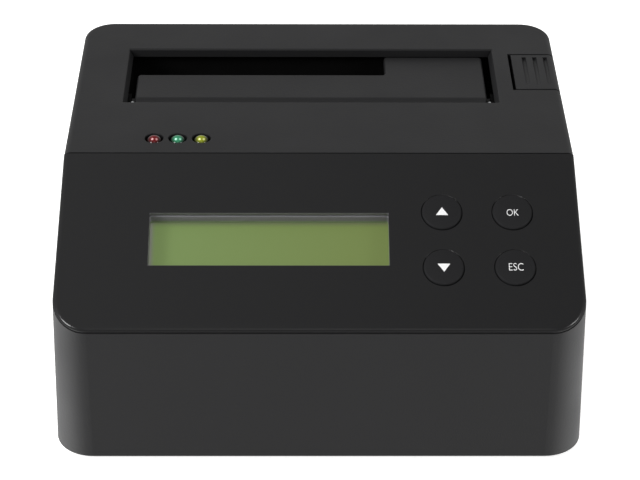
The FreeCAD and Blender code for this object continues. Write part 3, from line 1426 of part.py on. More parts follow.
os.makedirs("parts", exist_ok=True)
for node, shape in build().items():
    shape.exportStep("parts/" + node + ".step")
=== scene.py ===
"""Finish, printed marks and studio of a single-bay drive eraser dock, laid out as an add-on."""

import json
import math

import bmesh
import bpy
from bpy.props import FloatProperty, FloatVectorProperty, PointerProperty
from mathutils import Matrix, Vector


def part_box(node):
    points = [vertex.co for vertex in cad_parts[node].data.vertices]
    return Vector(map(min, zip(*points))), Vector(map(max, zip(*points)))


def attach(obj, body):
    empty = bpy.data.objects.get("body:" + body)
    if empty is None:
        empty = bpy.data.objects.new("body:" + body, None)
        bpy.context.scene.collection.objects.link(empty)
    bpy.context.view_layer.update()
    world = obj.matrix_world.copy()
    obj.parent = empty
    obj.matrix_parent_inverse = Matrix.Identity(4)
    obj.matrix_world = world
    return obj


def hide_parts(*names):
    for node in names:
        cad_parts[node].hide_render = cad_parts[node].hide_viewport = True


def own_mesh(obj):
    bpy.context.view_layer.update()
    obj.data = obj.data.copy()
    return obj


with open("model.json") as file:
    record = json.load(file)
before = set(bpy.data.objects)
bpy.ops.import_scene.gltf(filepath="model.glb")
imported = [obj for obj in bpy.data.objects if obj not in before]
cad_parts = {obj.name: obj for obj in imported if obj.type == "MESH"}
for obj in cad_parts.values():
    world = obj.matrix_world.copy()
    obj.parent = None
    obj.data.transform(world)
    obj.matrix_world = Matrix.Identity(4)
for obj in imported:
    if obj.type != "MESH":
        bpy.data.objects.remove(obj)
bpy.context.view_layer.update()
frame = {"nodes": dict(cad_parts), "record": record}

bl_info = {
    "name": "Drive eraser dock",
    "version": (1, 0, 0),
    "blender": (4, 5, 0),
    "location": "3D View > Sidebar > Dock",
    "description": "Gives a drive eraser dock its materials, key marks and studio",
    "category": "Object",
}

MM = 0.001

# Flat drawing of the control panel in millimetres: x to the right, y up the slope, z out of the face.
SLOPE_DEG = 27.0
CREASE = Vector((0.0, -16.7555, 65.7)) * MM
PANEL_PLACE = Matrix.Translation(CREASE) @ Matrix.Rotation(math.radians(SLOPE_DEG), 4, "X")
KEY_CENTRES = {
    "up": (32.35, -18.65),
    "down": (32.35, -35.45),
    "ok": (51.0, -18.65),
    "esc": (51.0, -35.45),
}
KEY_TOP = 0.9
KEY_CROWN = 0.35
KEY_FLAT_R = 4.7
# Printed marks: how far the ink stands proud, where each mark sits from its key's centre, the height of
# the arrows over their width, and how much the letters are thinned and stretched.
INK_PROUD = 0.03
MARK_SHIFTS = {"up": (0.0, -0.19), "down": (0.0, -0.55), "ok": (0.0, -0.58), "esc": (0.14, -0.28)}
UP_ASPECT = 0.735
DOWN_ASPECT = 0.72
ARROW_CUTS = 5
LETTER_THINNING = 0.012
LETTER_STRETCH = 1.28
# Display, drawn from the middle of the liquid crystal cell: the window, the depth up to which the cell's
# green light is painted on the foam frame, the depth at which the frame meets the lens, and the margins of
# the cell, the left one painted greyer as dimmer light and the top one painted grey as shadow.
DISPLAY_CENTRE = PANEL_PLACE @ (Vector((-13.25, -26.9, -5.1)) * MM)
WINDOW = (63.0, 15.9)
WINDOW_SLACK = 0.03
FOAM_GREEN_LIGHT = 1.5
FOAM_TOP = 3.0
LEFT_LIGHT_MARGIN = (-31.8, -30.0)
TOP_SHADOW_MARGIN = (6.4, 9.2)
# How light the display's colours are drawn: the painted light on the cut edge of the window, the painted
# light on the foot and top of the foam, and on the cell its dot blocks and the gaps between them, its right
# end, its left margin painted dimmer and its top margin painted as shadow.
EDGE_LIGHT_SHARE = 0.45
FOAM_FOOT_LIGHT_SHARE = 1.3
FOAM_TOP_LIGHT_SHARE = 2.3
DOT_SHARES = (0.37, 0.375)
GAP_SHARE = 0.38
RIGHT_SHARE = 0.37
LEFT_LIGHT_SHARE = 0.34
TOP_SHADOW_SHARE = 0.15
# Power rocker at the back: its pivot, its lean at rest, the crest of its wings over the pivot, how far
# out on a wing its marks sit, and the bar's width and stretch against the ring.
ROCKER_PIVOT = Vector((-44.0, 60.2445, 16.2)) * MM
ROCKER_LEAN = math.radians(8.0)
ROCKER_CREST = 2.4
ROCKER_MARK_OUT = 2.8
BAR_WIDTH = 0.24
BAR_STRETCH = 0.5
# Lamps, from the top of the dome: the lighter heart of the resin, around which the tint is painted darker as
# shade, and the two painted highlights on the dome, with how bright the left and the right one are and how
# pale they make the tint.
HEART_AND_RIM_SHADE = Vector((0.0, -0.75, -0.2)) * MM
HEART_AND_RIM_SHADE_R = 2.0 * MM
GLINT_MIDDLE = Vector((0.15, -1.06, -0.34)) * MM
GLINT_ASIDE = Vector((0.58, 0.0, 0.0)) * MM
GLINT_R = 0.5 * MM
GLINT_SHARES = {-1: 1.0, 1: 0.6}
GLINT_PALE = 0.45
GLINT_DEPTH = 3.0
# Wire springs: the torsion spring of the flap on its hinge rod, and the coil under the eject button.
WIRE_SIDES = 8
COIL_STEPS = 24
FLAP_COIL_R = 1.75 * MM
FLAP_WIRE_R = 0.25 * MM
FLAP_COIL_TURNS = 3.0
FLAP_COIL_PITCH = 0.62 * MM
FLAP_COIL_X = 27.0 * MM
FLAP_RING_TURN = 0.95
FLAP_LEG = Vector((0.0, 8.0, 1.7)) * MM
FLAP_FOOT_REACH = 2.35 * MM
FLAP_FOOT_BEND_R = 0.5 * MM
FLAP_FOOT_DROP = 7.5 * MM
EJECT_WIRE_R = 0.3 * MM
EJECT_COIL_TURNS = 5.0
# The values that most of a noise pattern lies between.
NOISE_RANGE = (0.3, 0.7)
# Refractive indices.
ABS_IOR = 1.54
ACETAL_IOR = 1.48
ACRYLIC_IOR = 1.49
EPOXY_IOR = 1.55
INK_IOR = 1.5
LCD_IOR = 1.5
NYLON_IOR = 1.53
PBT_IOR = 1.57
RUBBER_IOR = 1.5
# Pitch of the cores of the flat cable.
CORE_PITCH = 1.27 * MM
# Camera: turn, tilt and roll in degrees, where it stands, its lens and sensor in millimetres.
CAMERA_TURN = (0.5996, 32.6485, 0.3565)
CAMERA_STAND = Vector((-4.911, -523.684, 362.67)) * MM
CAMERA_LENS = 123.02
SENSOR_WIDTH = 36.0
CAMERA_CLIP = (0.02, 50.0)
# Half the side of the paper floor, and the point that the lights face.
FLOOR_REACH = 4.0
LIGHT_AIM = Vector((0.0, 0.0, 0.035))


def linear(code):
    """Linear red, green and blue of an sRGB hex value."""
    shares = [int(code[i : i + 2], 16) / 255 for i in (1, 3, 5)]
    return [c / 12.92 if c <= 0.04045 else ((c + 0.055) / 1.055) ** 2.4 for c in shares]


def colour_setting(name, about, code):
    """Colour property with an sRGB hex default."""
    return FloatVectorProperty(
        name=name, description=about, subtype="COLOR", size=3, min=0.0, max=1.0, default=linear(code)
    )


def length_setting(name, about, millimetres):
    """Length property with a default in millimetres."""
    return FloatProperty(
        name=name, description=about, subtype="DISTANCE", unit="LENGTH", min=0.0, default=millimetres * MM
    )


class DockColours(bpy.types.PropertyGroup):
    """Colours of the finishes."""

    housing: colour_setting("Housing", "Grained black of the shell, base, flap and button", "#1A1A1B")
    panel: colour_setting("Panel", "Satin black of the control panel", "#0F0F10")
    keys: colour_setting("Keys", "Soft black of the four keys", "#1F1F20")
    well: colour_setting("Drive well", "Dull black inside the slot", "#050505")
    ink: colour_setting("Key marks", "White ink on the keys and the rocker", "#E4E4E4")
    display: colour_setting("Display", "Yellow-green of the liquid crystal cell", "#7A9159")
    gasket: colour_setting("Gasket", "Grey foam frame around the display", "#7D7B82")
    lamp_red: colour_setting("Red lamp", "Tint of the left lamp", "#620309")
    lamp_green: colour_setting("Green lamp", "Tint of the middle lamp", "#328660")
    lamp_yellow: colour_setting("Yellow-green lamp", "Tint of the right lamp", "#868F1C")
    board: colour_setting("Boards", "Solder mask of the circuit boards", "#14502C")
    floor: colour_setting("Floor", "Paper sweep under the object", "#F7F7F6")


class DockSizes(bpy.types.PropertyGroup):
    """Sizes of the marks and of the surface grain."""

    grain: length_setting("Grain", "Width of one crater of the grained housing", 0.55)
    grain_depth: length_setting("Grain depth", "Depth of a crater of the grained housing", 0.016)
    up_width: length_setting("Up mark", "Width of the up arrow", 3.22)
    down_width: length_setting("Down mark", "Width of the down arrow", 3.34)
    ok_width: length_setting("OK mark", "Width of the letters on the upper right key", 3.15)
    esc_width: length_setting("ESC mark", "Width of the letters on the lower right key", 3.8)
    switch_mark: length_setting("Switch mark", "Width of the ring on the power rocker", 2.2)
    ink_depth: length_setting("Ink", "Thickness of the printed ink", 0.08)


def add_node(tree, kind, settings=None, values=None, links=None):
    """Add one node, set its options and values, and link its inputs."""
    node = tree.nodes.new(kind)
    for name, value in (settings or {}).items():
        setattr(node, name, value)
    for name, value in (values or {}).items():
        node.inputs[name].default_value = value
    for name, socket in (links or {}).items():
        tree.links.new(socket, node.inputs[name])
    return node


def begin(name):
    """New material with a Principled shader; returns it with its tree, shader and object coordinates."""
    material = bpy.data.materials.new(name)
    material.use_nodes = True
    tree = material.node_tree
    tree.nodes.clear()
    shader = add_node(tree, "ShaderNodeBsdfPrincipled")
    add_node(tree, "ShaderNodeOutputMaterial", links={"Surface": shader.outputs["BSDF"]})
    place = add_node(tree, "ShaderNodeTexCoord").outputs["Object"]
    return material, tree, shader, place


def tint(colour, share=1.0):
    """Four-channel colour, made lighter or darker by a share."""
    return (*(min(1.0, c * share) for c in colour), 1.0)


def spread_tone(tree, shader, factor, colour, low, high):
    """Let the base colour drift between two shares of a colour."""
    tone = add_node(
        tree,
        "ShaderNodeMix",
        {"data_type": "RGBA"},
        {6: tint(colour, low), 7: tint(colour, high)},
        {0: factor},
    )
    tree.links.new(tone.outputs[2], shader.inputs["Base Color"])


def spread_gloss(tree, shader, factor, low, high):
    """Let the roughness drift between two values."""
    gloss = add_node(
        tree,
        "ShaderNodeMapRange",
        None,
        {"From Min": NOISE_RANGE[0], "From Max": NOISE_RANGE[1], "To Min": low, "To Max": high},
        {"Value": factor},
    )
    tree.links.new(gloss.outputs["Result"], shader.inputs["Roughness"])


def lay_tone(tree, shader, factor, colour):
    """Lay another colour over the base colour, as far as a factor says."""
    under = shader.inputs["Base Color"].links[0].from_socket
    tone = add_node(
        tree, "ShaderNodeMix", {"data_type": "RGBA"}, {7: colour}, {0: factor, 6: under}
    )
    tree.links.new(tone.outputs[2], shader.inputs["Base Color"])


def relief(tree, shader, height, depth):
    """Raise the surface by a height of this depth."""
    bump = add_node(
        tree, "ShaderNodeBump", None, {"Strength": 1.0, "Distance": depth}, {"Height": height}
    )
    tree.links.new(bump.outputs["Normal"], shader.inputs["Normal"])


def display_drawing(tree, place):
    """Place on the flat drawing of the display, in millimetres from its centre."""
    turned = add_node(
        tree,
        "ShaderNodeMapping",
        {"vector_type": "TEXTURE"},
        {
            "Location": DISPLAY_CENTRE,
            "Rotation": (math.radians(SLOPE_DEG), 0.0, 0.0),
            "Scale": (MM, MM, MM),
        },
        {"Vector": place},
    )
    return turned.outputs["Vector"]


def nearness(tree, place, centre, reach):
    """Share that is 1 at a point and falls to 0 at this distance from it."""
    around = add_node(
        tree,
        "ShaderNodeMapping",
        {"vector_type": "TEXTURE"},
        {"Location": centre, "Scale": (reach, reach, reach)},
        {"Vector": place},
    )
    ball = add_node(
        tree,
        "ShaderNodeTexGradient",
        {"gradient_type": "SPHERICAL"},
        None,
        {"Vector": around.outputs["Vector"]},
    )
    return ball.outputs["Fac"]


def grained_abs(name, colour, roughness, grain, depth):
    """ABS moulded against a spark-eroded tool."""
    # Even, shallow craters break up every highlight, so black plastic reads as soft charcoal.
    # The real grain is about 0.1 mm wide; it is drawn several times coarser so that it shows.
    material, tree, shader, place = begin(name)
    shader.inputs["IOR"].default_value = ABS_IOR
    shader.inputs["Specular IOR Level"].default_value = 0.29
    craters = add_node(
        tree,
        "ShaderNodeTexVoronoi",
        {"feature": "SMOOTH_F1"},
        {"Scale": 1.0 / grain, "Smoothness": 0.7},
        {"Vector": place},
    )
    specks = add_node(
        tree, "ShaderNodeTexNoise", None, {"Scale": 1.6 / grain, "Detail": 2.0}, {"Vector": place}
    )
    height = add_node(
        tree,
        "ShaderNodeMath",
        {"operation": "MULTIPLY_ADD"},
        {1: 0.8},
        {0: specks.outputs["Fac"], 2: craters.outputs["Distance"]},
    )
    relief(tree, shader, height.outputs["Value"], depth)
    flow = add_node(
        tree, "ShaderNodeTexNoise", None, {"Scale": 1.0 / (22 * MM), "Detail": 3.0}, {"Vector": place}
    )
    spread_tone(tree, shader, specks.outputs["Fac"], colour, 0.86, 1.14)
    spread_gloss(tree, shader, flow.outputs["Fac"], roughness - 0.03, roughness + 0.03)
    return material


def satin_abs(name, colour, roughness, wave, depth, specular=0.5):
    """ABS moulded against a polished tool and left satin."""
    # Smooth with a faint swim in its reflections, so it looks darker and tighter than the housing.
    material, tree, shader, place = begin(name)
    shader.inputs["IOR"].default_value = ABS_IOR
    shader.inputs["Specular IOR Level"].default_value = specular
    swim = add_node(
        tree, "ShaderNodeTexNoise", None, {"Scale": 1.0 / wave, "Detail": 2.0}, {"Vector": place}
    )
    haze = add_node(
        tree, "ShaderNodeTexNoise", None, {"Scale": 1.0 / (0.4 * MM), "Detail": 2.0}, {"Vector": place}
    )
    relief(tree, shader, swim.outputs["Fac"], depth)
    spread_tone(tree, shader, haze.outputs["Fac"], colour, 0.94, 1.06)
    spread_gloss(tree, shader, haze.outputs["Fac"], roughness - 0.02, roughness + 0.02)
    return material


def paint_light_on_window_edge(tree, colour):
    """Paint light on the cut edge of the display window, in the grey of the foam behind it."""
    # The black edge of the cut-out is painted in the foam's grey: painted light, standing for the light that
    # the acrylic carries onto it.
    shader = tree.nodes["Principled BSDF"]
    place = add_node(tree, "ShaderNodeTexCoord").outputs["Object"]
    reach = add_node(
        tree,
        "ShaderNodeVectorMath",
        {"operation": "ABSOLUTE"},
        None,
        {0: display_drawing(tree, place)},
    )
    axes = add_node(tree, "ShaderNodeSeparateXYZ", links={"Vector": reach.outputs["Vector"]})
    within = []
    for axis, size in zip("XY", WINDOW):
        test = add_node(
            tree,
            "ShaderNodeMath",
            {"operation": "LESS_THAN"},
            {1: size / 2 + WINDOW_SLACK},
            {0: axes.outputs[axis]},
        )
        within.append(test.outputs["Value"])
    # Painted light mask: the faces within the window's outline, which are its cut edge.
    painted_light_mask = add_node(
        tree, "ShaderNodeMath", {"operation": "MULTIPLY"}, None, {0: within[0], 1: within[1]}
    )
    lay_tone(tree, shader, painted_light_mask.outputs["Value"], tint(colour, EDGE_LIGHT_SHARE))


def moulded_plastic(name, colour, roughness, ior, grain, specular=0.5):
    """Plain engineering plastic as it leaves a simple tool."""
    # A soft sheen and a hint of flow marks, with none of the housing's grain.
    material, tree, shader, place = begin(name)
    shader.inputs["IOR"].default_value = ior
    shader.inputs["Specular IOR Level"].default_value = specular
    flow = add_node(
        tree, "ShaderNodeTexNoise", None, {"Scale": 1.0 / grain, "Detail": 3.0}, {"Vector": place}
    )
    relief(tree, shader, flow.outputs["Fac"], 0.006 * MM)
    spread_tone(tree, shader, flow.outputs["Fac"], colour, 0.9, 1.1)
    spread_gloss(tree, shader, flow.outputs["Fac"], roughness - 0.05, roughness + 0.05)
    return material


def foam_rubber(name, colour, roughness, cell, depth):
    """Soft closed-cell foam or moulded rubber."""
    # Small open pores take the shine away and leave a dry, even grey.
    material, tree, shader, place = begin(name)
    shader.inputs["IOR"].default_value = RUBBER_IOR
    pores = add_node(
        tree, "ShaderNodeTexVoronoi", {"feature": "F1"}, {"Scale": 1.0 / cell}, {"Vector": place}
    )
    relief(tree, shader, pores.outputs["Distance"], depth)
    spread_tone(tree, shader, pores.outputs["Distance"], colour, 0.82, 1.1)
    spread_gloss(tree, shader, pores.outputs["Distance"], roughness - 0.06, roughness + 0.04)
    return material


def paint_light_on_foam_ends(tree, green, grey):
    """Paint light on the foam frame: the cell's green on its foot, by the display, and grey light on its
    top, under the lens.
    """
    # Painted light: the lit cell's green is painted on the lowest millimetre of the foam, so its edge is
    # soft and not a hard line, and painted light on its upper face stands for the light that the acrylic
    # brings there; unlit, that face lies in shade and would be a black line under the panel.
    shader = tree.nodes["Principled BSDF"]
    place = add_node(tree, "ShaderNodeTexCoord").outputs["Object"]
    axes = add_node(tree, "ShaderNodeSeparateXYZ", links={"Vector": display_drawing(tree, place)})
    # Painted green light, strongest at the foot of the foam.
    foot = add_node(
        tree,
        "ShaderNodeMapRange",
        {"interpolation_type": "SMOOTHSTEP"},
        {"From Min": 0.0, "From Max": FOAM_GREEN_LIGHT, "To Min": 0.8, "To Max": 0.0},
        {"Value": axes.outputs["Z"]},
    )
    # Painted light on the top face of the foam.
    top = add_node(
        tree, "ShaderNodeMath", {"operation": "GREATER_THAN"}, {1: FOAM_TOP}, {0: axes.outputs["Z"]}
    )
    lay_tone(tree, shader, foot.outputs["Result"], tint(green, FOAM_FOOT_LIGHT_SHARE))
    lay_tone(tree, shader, top.outputs["Value"], tint(grey, FOAM_TOP_LIGHT_SHARE))


def worked_metal(name, colour, roughness, line, stretch):
    """Metal with fine drawing or rolling lines along one axis."""
    # Hairlines pull the highlight out sideways, and faint stains keep it from looking chromed.
    material, tree, shader, place = begin(name)
    shader.inputs["Metallic"].default_value = 1.0
    along = add_node(
        tree, "ShaderNodeMapping", None, {"Scale": stretch}, {"Vector": place}
    )
    lines = add_node(
        tree,
        "ShaderNodeTexNoise",
        None,
        {"Scale": 1.0 / line, "Detail": 3.0},
        {"Vector": along.outputs["Vector"]},
    )
    stain = add_node(
        tree, "ShaderNodeTexNoise", None, {"Scale": 1.0 / (4 * MM), "Detail": 2.0}, {"Vector": place}
    )
    relief(tree, shader, lines.outputs["Fac"], 0.004 * MM)
    spread_tone(tree, shader, stain.outputs["Fac"], colour, 0.88, 1.08)
    spread_gloss(tree, shader, lines.outputs["Fac"], roughness - 0.06, roughness + 0.08)
    return material


def solder_mask(name, colour):
    """Glass-epoxy circuit board under a green mask."""
    # Copper tracks show as a paler, slightly raised net under the lacquer.
    material, tree, shader, place = begin(name)
    shader.inputs["IOR"].default_value = EPOXY_IOR
    cells = add_node(
        tree,
        "ShaderNodeTexVoronoi",
        {"distance": "CHEBYCHEV", "feature": "F1"},
        {"Scale": 1.0 / (3.2 * MM), "Randomness": 0.8},
        {"Vector": place},
    )
    track = add_node(
        tree,
        "ShaderNodeMapRange",
        {"interpolation_type": "SMOOTHSTEP"},
        {"From Min": 0.36, "From Max": 0.42},
        {"Value": cells.outputs["Distance"]},
    )
    weave = add_node(
        tree, "ShaderNodeTexNoise", None, {"Scale": 1.0 / (0.8 * MM), "Detail": 1.0}, {"Vector": place}
    )
    relief(tree, shader, track.outputs["Result"], 0.03 * MM)
    spread_tone(tree, shader, track.outputs["Result"], colour, 0.75, 1.25)
    spread_gloss(tree, shader, weave.outputs["Fac"], 0.28, 0.4)
    return material


def lamp_resin(name, colour, node):
    """Tinted epoxy of a small lamp."""
    # A lighter heart over the die cup, towards the front of the dome, with the tint painted darker towards
    # the rim as shade where the dome sinks into its hole, and two small bright points that are painted
    # highlights of the soft lights.
    material, tree, shader, place = begin(name)
    shader.inputs["IOR"].default_value = EPOXY_IOR
    shader.inputs["Specular IOR Level"].default_value = 0.36
    low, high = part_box(node)
    dome = Vector(((low.x + high.x) / 2, (low.y + high.y) / 2, high.z))
    # Partly the clearer resin over the die cup, partly painted shade: the tint darkens from the heart to the
    # rim.
    glow = add_node(
        tree,
        "ShaderNodeMapRange",
        {"interpolation_type": "SMOOTHSTEP"},
        {"From Min": 0.08, "From Max": 0.66},
        {"Value": nearness(tree, place, dome + HEART_AND_RIM_SHADE, HEART_AND_RIM_SHADE_R)},
    )
    spread_tone(tree, shader, glow.outputs["Result"], colour, 0.05, 0.95)
    # Painted highlights: two small pale points, standing for the glints of the soft lights on the dome.
    pale = tint([GLINT_PALE + GLINT_DEPTH * c for c in colour])
    for side, share in GLINT_SHARES.items():
        end = dome + GLINT_MIDDLE + side * GLINT_ASIDE
        shine = add_node(
            tree,
            "ShaderNodeMapRange",
            {"interpolation_type": "SMOOTHSTEP"},
            {"From Min": 0.05, "From Max": 0.75, "To Max": share},
            {"Value": nearness(tree, place, end, GLINT_R)},
        )
        lay_tone(tree, shader, shine.outputs["Result"], pale)
    swim = add_node(
        tree, "ShaderNodeTexNoise", None, {"Scale": 1.0 / (0.9 * MM)}, {"Vector": place}
    )
    spread_gloss(tree, shader, swim.outputs["Fac"], 0.04, 0.07)
    return material


def liquid_crystal(name, colour):
    """Two-line character cell behind its polariser, with a painted glow in its own colour."""
    # A flat yellow-green, a little browner towards the right, with the ghost of the dot blocks that
    # shows only close up, a greyer left margin painted as the dimmer light where the light guide ends, and a
    # grey top band that is painted shadow of the window's upper rim.
    material, tree, shader, place = begin(name)
    shader.inputs["IOR"].default_value = LCD_IOR
    shader.inputs["Specular IOR Level"].default_value = 0.2
    # Painted glow: the cell gives off light in its own colour, though it is not lit, to even out the shade
    # of its recess.
    shader.inputs["Emission Strength"].default_value = 1.88
    drawing = display_drawing(tree, place)
    dots = add_node(
        tree,
        "ShaderNodeTexBrick",
        {"offset": 0.0},
        {
            "Color1": tint(colour, DOT_SHARES[0]),
            "Color2": tint(colour, DOT_SHARES[1]),
            "Mortar": tint(colour, GAP_SHARE),
            "Scale": 1.0,
            "Mortar Size": 0.05,
            "Brick Width": 0.6,
            "Row Height": 0.7,
        },
        {"Vector": drawing},
    )
    tree.links.new(dots.outputs["Color"], shader.inputs["Base Color"])
    haze = add_node(
        tree, "ShaderNodeTexNoise", None, {"Scale": 1.0 / 12.5, "Detail": 1.0}, {"Vector": drawing}
    )
    spread_gloss(tree, shader, haze.outputs["Fac"], 0.3, 0.36)
    axes = add_node(tree, "ShaderNodeSeparateXYZ", links={"Vector": drawing})
    across = add_node(
        tree,
        "ShaderNodeMapRange",
        None,
        {"From Min": -WINDOW[0] / 2, "From Max": WINDOW[0] / 2},
        {"Value": axes.outputs["X"]},
    )
    # Painted light: the left margin is drawn greyer, as dimmer light where the light guide ends.
    left = add_node(
        tree,
        "ShaderNodeMapRange",
        {"interpolation_type": "SMOOTHSTEP"},
        {"From Min": LEFT_LIGHT_MARGIN[0], "From Max": LEFT_LIGHT_MARGIN[1], "To Min": 1.0, "To Max": 0.0},
        {"Value": axes.outputs["X"]},
    )
    # Painted shadow: the top band is drawn grey, as the shadow of the window's upper rim.
    upper = add_node(
        tree,
        "ShaderNodeMapRange",
        {"interpolation_type": "SMOOTHSTEP"},
        {"From Min": TOP_SHADOW_MARGIN[0], "From Max": TOP_SHADOW_MARGIN[1], "To Min": 0.0, "To Max": 1.0},
        {"Value": axes.outputs["Y"]},
    )
    lay_tone(tree, shader, across.outputs["Result"], tint(linear("#76864D"), RIGHT_SHARE))
    lay_tone(tree, shader, left.outputs["Result"], tint(linear("#85847E"), LEFT_LIGHT_SHARE))
    lay_tone(tree, shader, upper.outputs["Result"], tint(linear("#85847E"), TOP_SHADOW_SHARE))
    # The painted glow takes the same colour as the face.
    face = shader.inputs["Base Color"].links[0].from_socket
    tree.links.new(face, shader.inputs["Emission Color"])
    return material


def clear_acrylic(name):
    """Cast acrylic window."""
    # Nearly invisible, apart from a thin gloss on its face and a few faint wipe marks.
    material, tree, shader, place = begin(name)
    shader.inputs["IOR"].default_value = ACRYLIC_IOR
    shader.inputs["Base Color"].default_value = tint(linear("#141514"))
    shader.inputs["Alpha"].default_value = 0.06
    wipes = add_node(
        tree, "ShaderNodeTexNoise", None, {"Scale": 1.0 / (9 * MM), "Detail": 4.0}, {"Vector": place}
    )
    spread_gloss(tree, shader, wipes.outputs["Fac"], 0.03, 0.08)
    return material


def screen_ink(name, colour):
    """Opaque white ink, pad printed."""
    # Dense flat white with the slightest mottle.
    material, tree, shader, place = begin(name)
    shader.inputs["IOR"].default_value = INK_IOR
    mottle = add_node(
        tree, "ShaderNodeTexNoise", None, {"Scale": 1.0 / (0.5 * MM)}, {"Vector": place}
    )
    spread_tone(tree, shader, mottle.outputs["Fac"], colour, 0.97, 1.0)
    spread_gloss(tree, shader, mottle.outputs["Fac"], 0.45, 0.55)
    return material


def flat_cable(name):
    """Grey vinyl ribbon cable with round cores."""
    # Each core stands up as a small rib that catches the light, and its colour is painted lighter on the
    # ribs and darker between them, as painted highlight and shade.
    material, tree, shader, place = begin(name)
    ribs = add_node(
        tree,
        "ShaderNodeTexWave",
        {"wave_type": "BANDS", "bands_direction": "X", "wave_profile": "SIN"},
        {"Scale": math.pi / 10 / CORE_PITCH, "Distortion": 0.0, "Detail": 0.0},
        {"Vector": place},
    )
    relief(tree, shader, ribs.outputs["Fac"], 0.3 * MM)
    # Painted shade between the cores and painted highlight on them.
    spread_tone(tree, shader, ribs.outputs["Fac"], linear("#B9B9B6"), 0.7, 1.05)
    shader.inputs["Roughness"].default_value = 0.45
    return material


def paper_sweep(name, colour):
    """Matt white studio paper."""
    # A pale even ground with no sheen, overexposed so that hardly a shadow is left on it.
    material, tree, shader, place = begin(name)
    fibre = add_node(
        tree, "ShaderNodeTexNoise", None, {"Scale": 1.0 / (60 * MM), "Detail": 3.0}, {"Vector": place}
    )
    spread_tone(tree, shader, fibre.outputs["Fac"], colour, 0.99, 1.0)
    shader.inputs["Roughness"].default_value = 0.9
    shader.inputs["Specular IOR Level"].default_value = 0.1
    shader.inputs["Emission Color"].default_value = tint(colour)
    shader.inputs["Emission Strength"].default_value = 0.8
    return material


def dress(slot, material):
    """Give every node of a material slot its finish."""
    names = [p["node"] for p in frame["record"]["subparts"] if p["material_slot"] == slot]
    if not names:
        raise RuntimeError("no node takes the slot " + slot)
    for name in names:
        mesh = frame["nodes"][name].data
        mesh.materials.clear()
        mesh.materials.append(material)


def place_piece(name, bm, place, body, material):
    """Make a finished object of a bmesh, in its place, riding on a body."""
    bmesh.ops.transform(bm, matrix=place, verts=bm.verts)
    bmesh.ops.recalc_face_normals(bm, faces=bm.faces)
    mesh = bpy.data.meshes.new(name)
    bm.to_mesh(mesh)
    bm.free()
    mesh.materials.append(material)
    piece = bpy.data.objects.new(name, mesh)
    bpy.context.scene.collection.objects.link(piece)
    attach(piece, body)
    return piece


def arrow_mark(width, height):
    """Flat triangle that points up, centred on its own middle height."""
    # In a unit circle it is the root of 3 wide and 1.5 high, and its middle height lies at 0.25.
    bm = bmesh.new()
    bmesh.ops.create_circle(bm, cap_ends=True, segments=3, radius=1.0)
    bmesh.ops.translate(bm, vec=(0.0, -0.25, 0.0), verts=bm.verts)
    bmesh.ops.scale(bm, vec=(width / math.sqrt(3.0), height / 1.5, 1.0), verts=bm.verts)
    bmesh.ops.triangulate(bm, faces=bm.faces[:])
    bmesh.ops.subdivide_edges(bm, edges=bm.edges[:], cuts=ARROW_CUTS, use_grid_fill=True)
    return bm


def word_mark(word, width, stretch=1.0):
    """Flat plain capital letters of a given overall width, drawn taller by a stretch."""
    curve = bpy.data.curves.new(word, "FONT")
    curve.body = word
    curve.resolution_u = 6
    holder = bpy.data.objects.new(word, curve)
    mesh = bpy.data.meshes.new_from_object(holder)
    bm = bmesh.new()
    bm.from_mesh(mesh)
    bpy.data.objects.remove(holder)
    bpy.data.curves.remove(curve)
    bpy.data.meshes.remove(mesh)
    bmesh.ops.remove_doubles(bm, verts=bm.verts, dist=1e-5)
    ring = bmesh.ops.inset_region(
        bm, faces=bm.faces[:], use_boundary=True, use_even_offset=True, thickness=LETTER_THINNING
    )
    bmesh.ops.delete(bm, geom=ring["faces"], context="FACES")
    xs = [v.co.x for v in bm.verts]
    ys = [v.co.y for v in bm.verts]
    middle = Vector(((min(xs) + max(xs)) / 2, (min(ys) + max(ys)) / 2, 0.0))
    bmesh.ops.translate(bm, vec=-middle, verts=bm.verts)
    share = width / (max(xs) - min(xs))
    bmesh.ops.scale(bm, vec=(share, stretch * share, 1.0), verts=bm.verts)
    return bm


def lay_on_crown(bm, shift):
    """Let a flat mark follow the crown of a key, shifted from the key's centre."""
    bmesh.ops.translate(bm, vec=shift, verts=bm.verts)
    for vertex in bm.verts:
        reach = vertex.co.xy.length / (KEY_FLAT_R * MM)
        vertex.co.z = (KEY_TOP + INK_PROUD - KEY_CROWN * reach**2) * MM


def thicken(bm, depth):
    """Give a flat mark the thickness of its ink, downwards."""
    grown = bmesh.ops.extrude_face_region(bm, geom=bm.faces[:])["geom"]
    under = [part for part in grown if isinstance(part, bmesh.types.BMVert)]
    bmesh.ops.translate(bm, vec=(0.0, 0.0, -depth), verts=under)


def wind(radius, wire, turns, pitch):
    """Coil of round wire about the Z axis that starts on the X axis, with its first and last rings."""
    bm = bmesh.new()
    bmesh.ops.create_circle(bm, segments=WIRE_SIDES, radius=wire)
    bmesh.ops.rotate(bm, matrix=Matrix.Rotation(math.pi / 2, 3, "X"), verts=bm.verts)
    bmesh.ops.translate(bm, vec=(radius, 0.0, 0.0), verts=bm.verts)
    first = bm.edges[:]
    steps = round(turns * COIL_STEPS)
    made = bmesh.ops.spin(
        bm,
        geom=bm.verts[:] + bm.edges[:],
        cent=(0.0, 0.0, 0.0),
        axis=(0.0, 0.0, 1.0),
        dvec=(0.0, 0.0, pitch * turns / steps),
        angle=2 * math.pi * turns,
        steps=steps,
    )
    last = [part for part in made["geom_last"] if isinstance(part, bmesh.types.BMEdge)]
    return bm, first, last


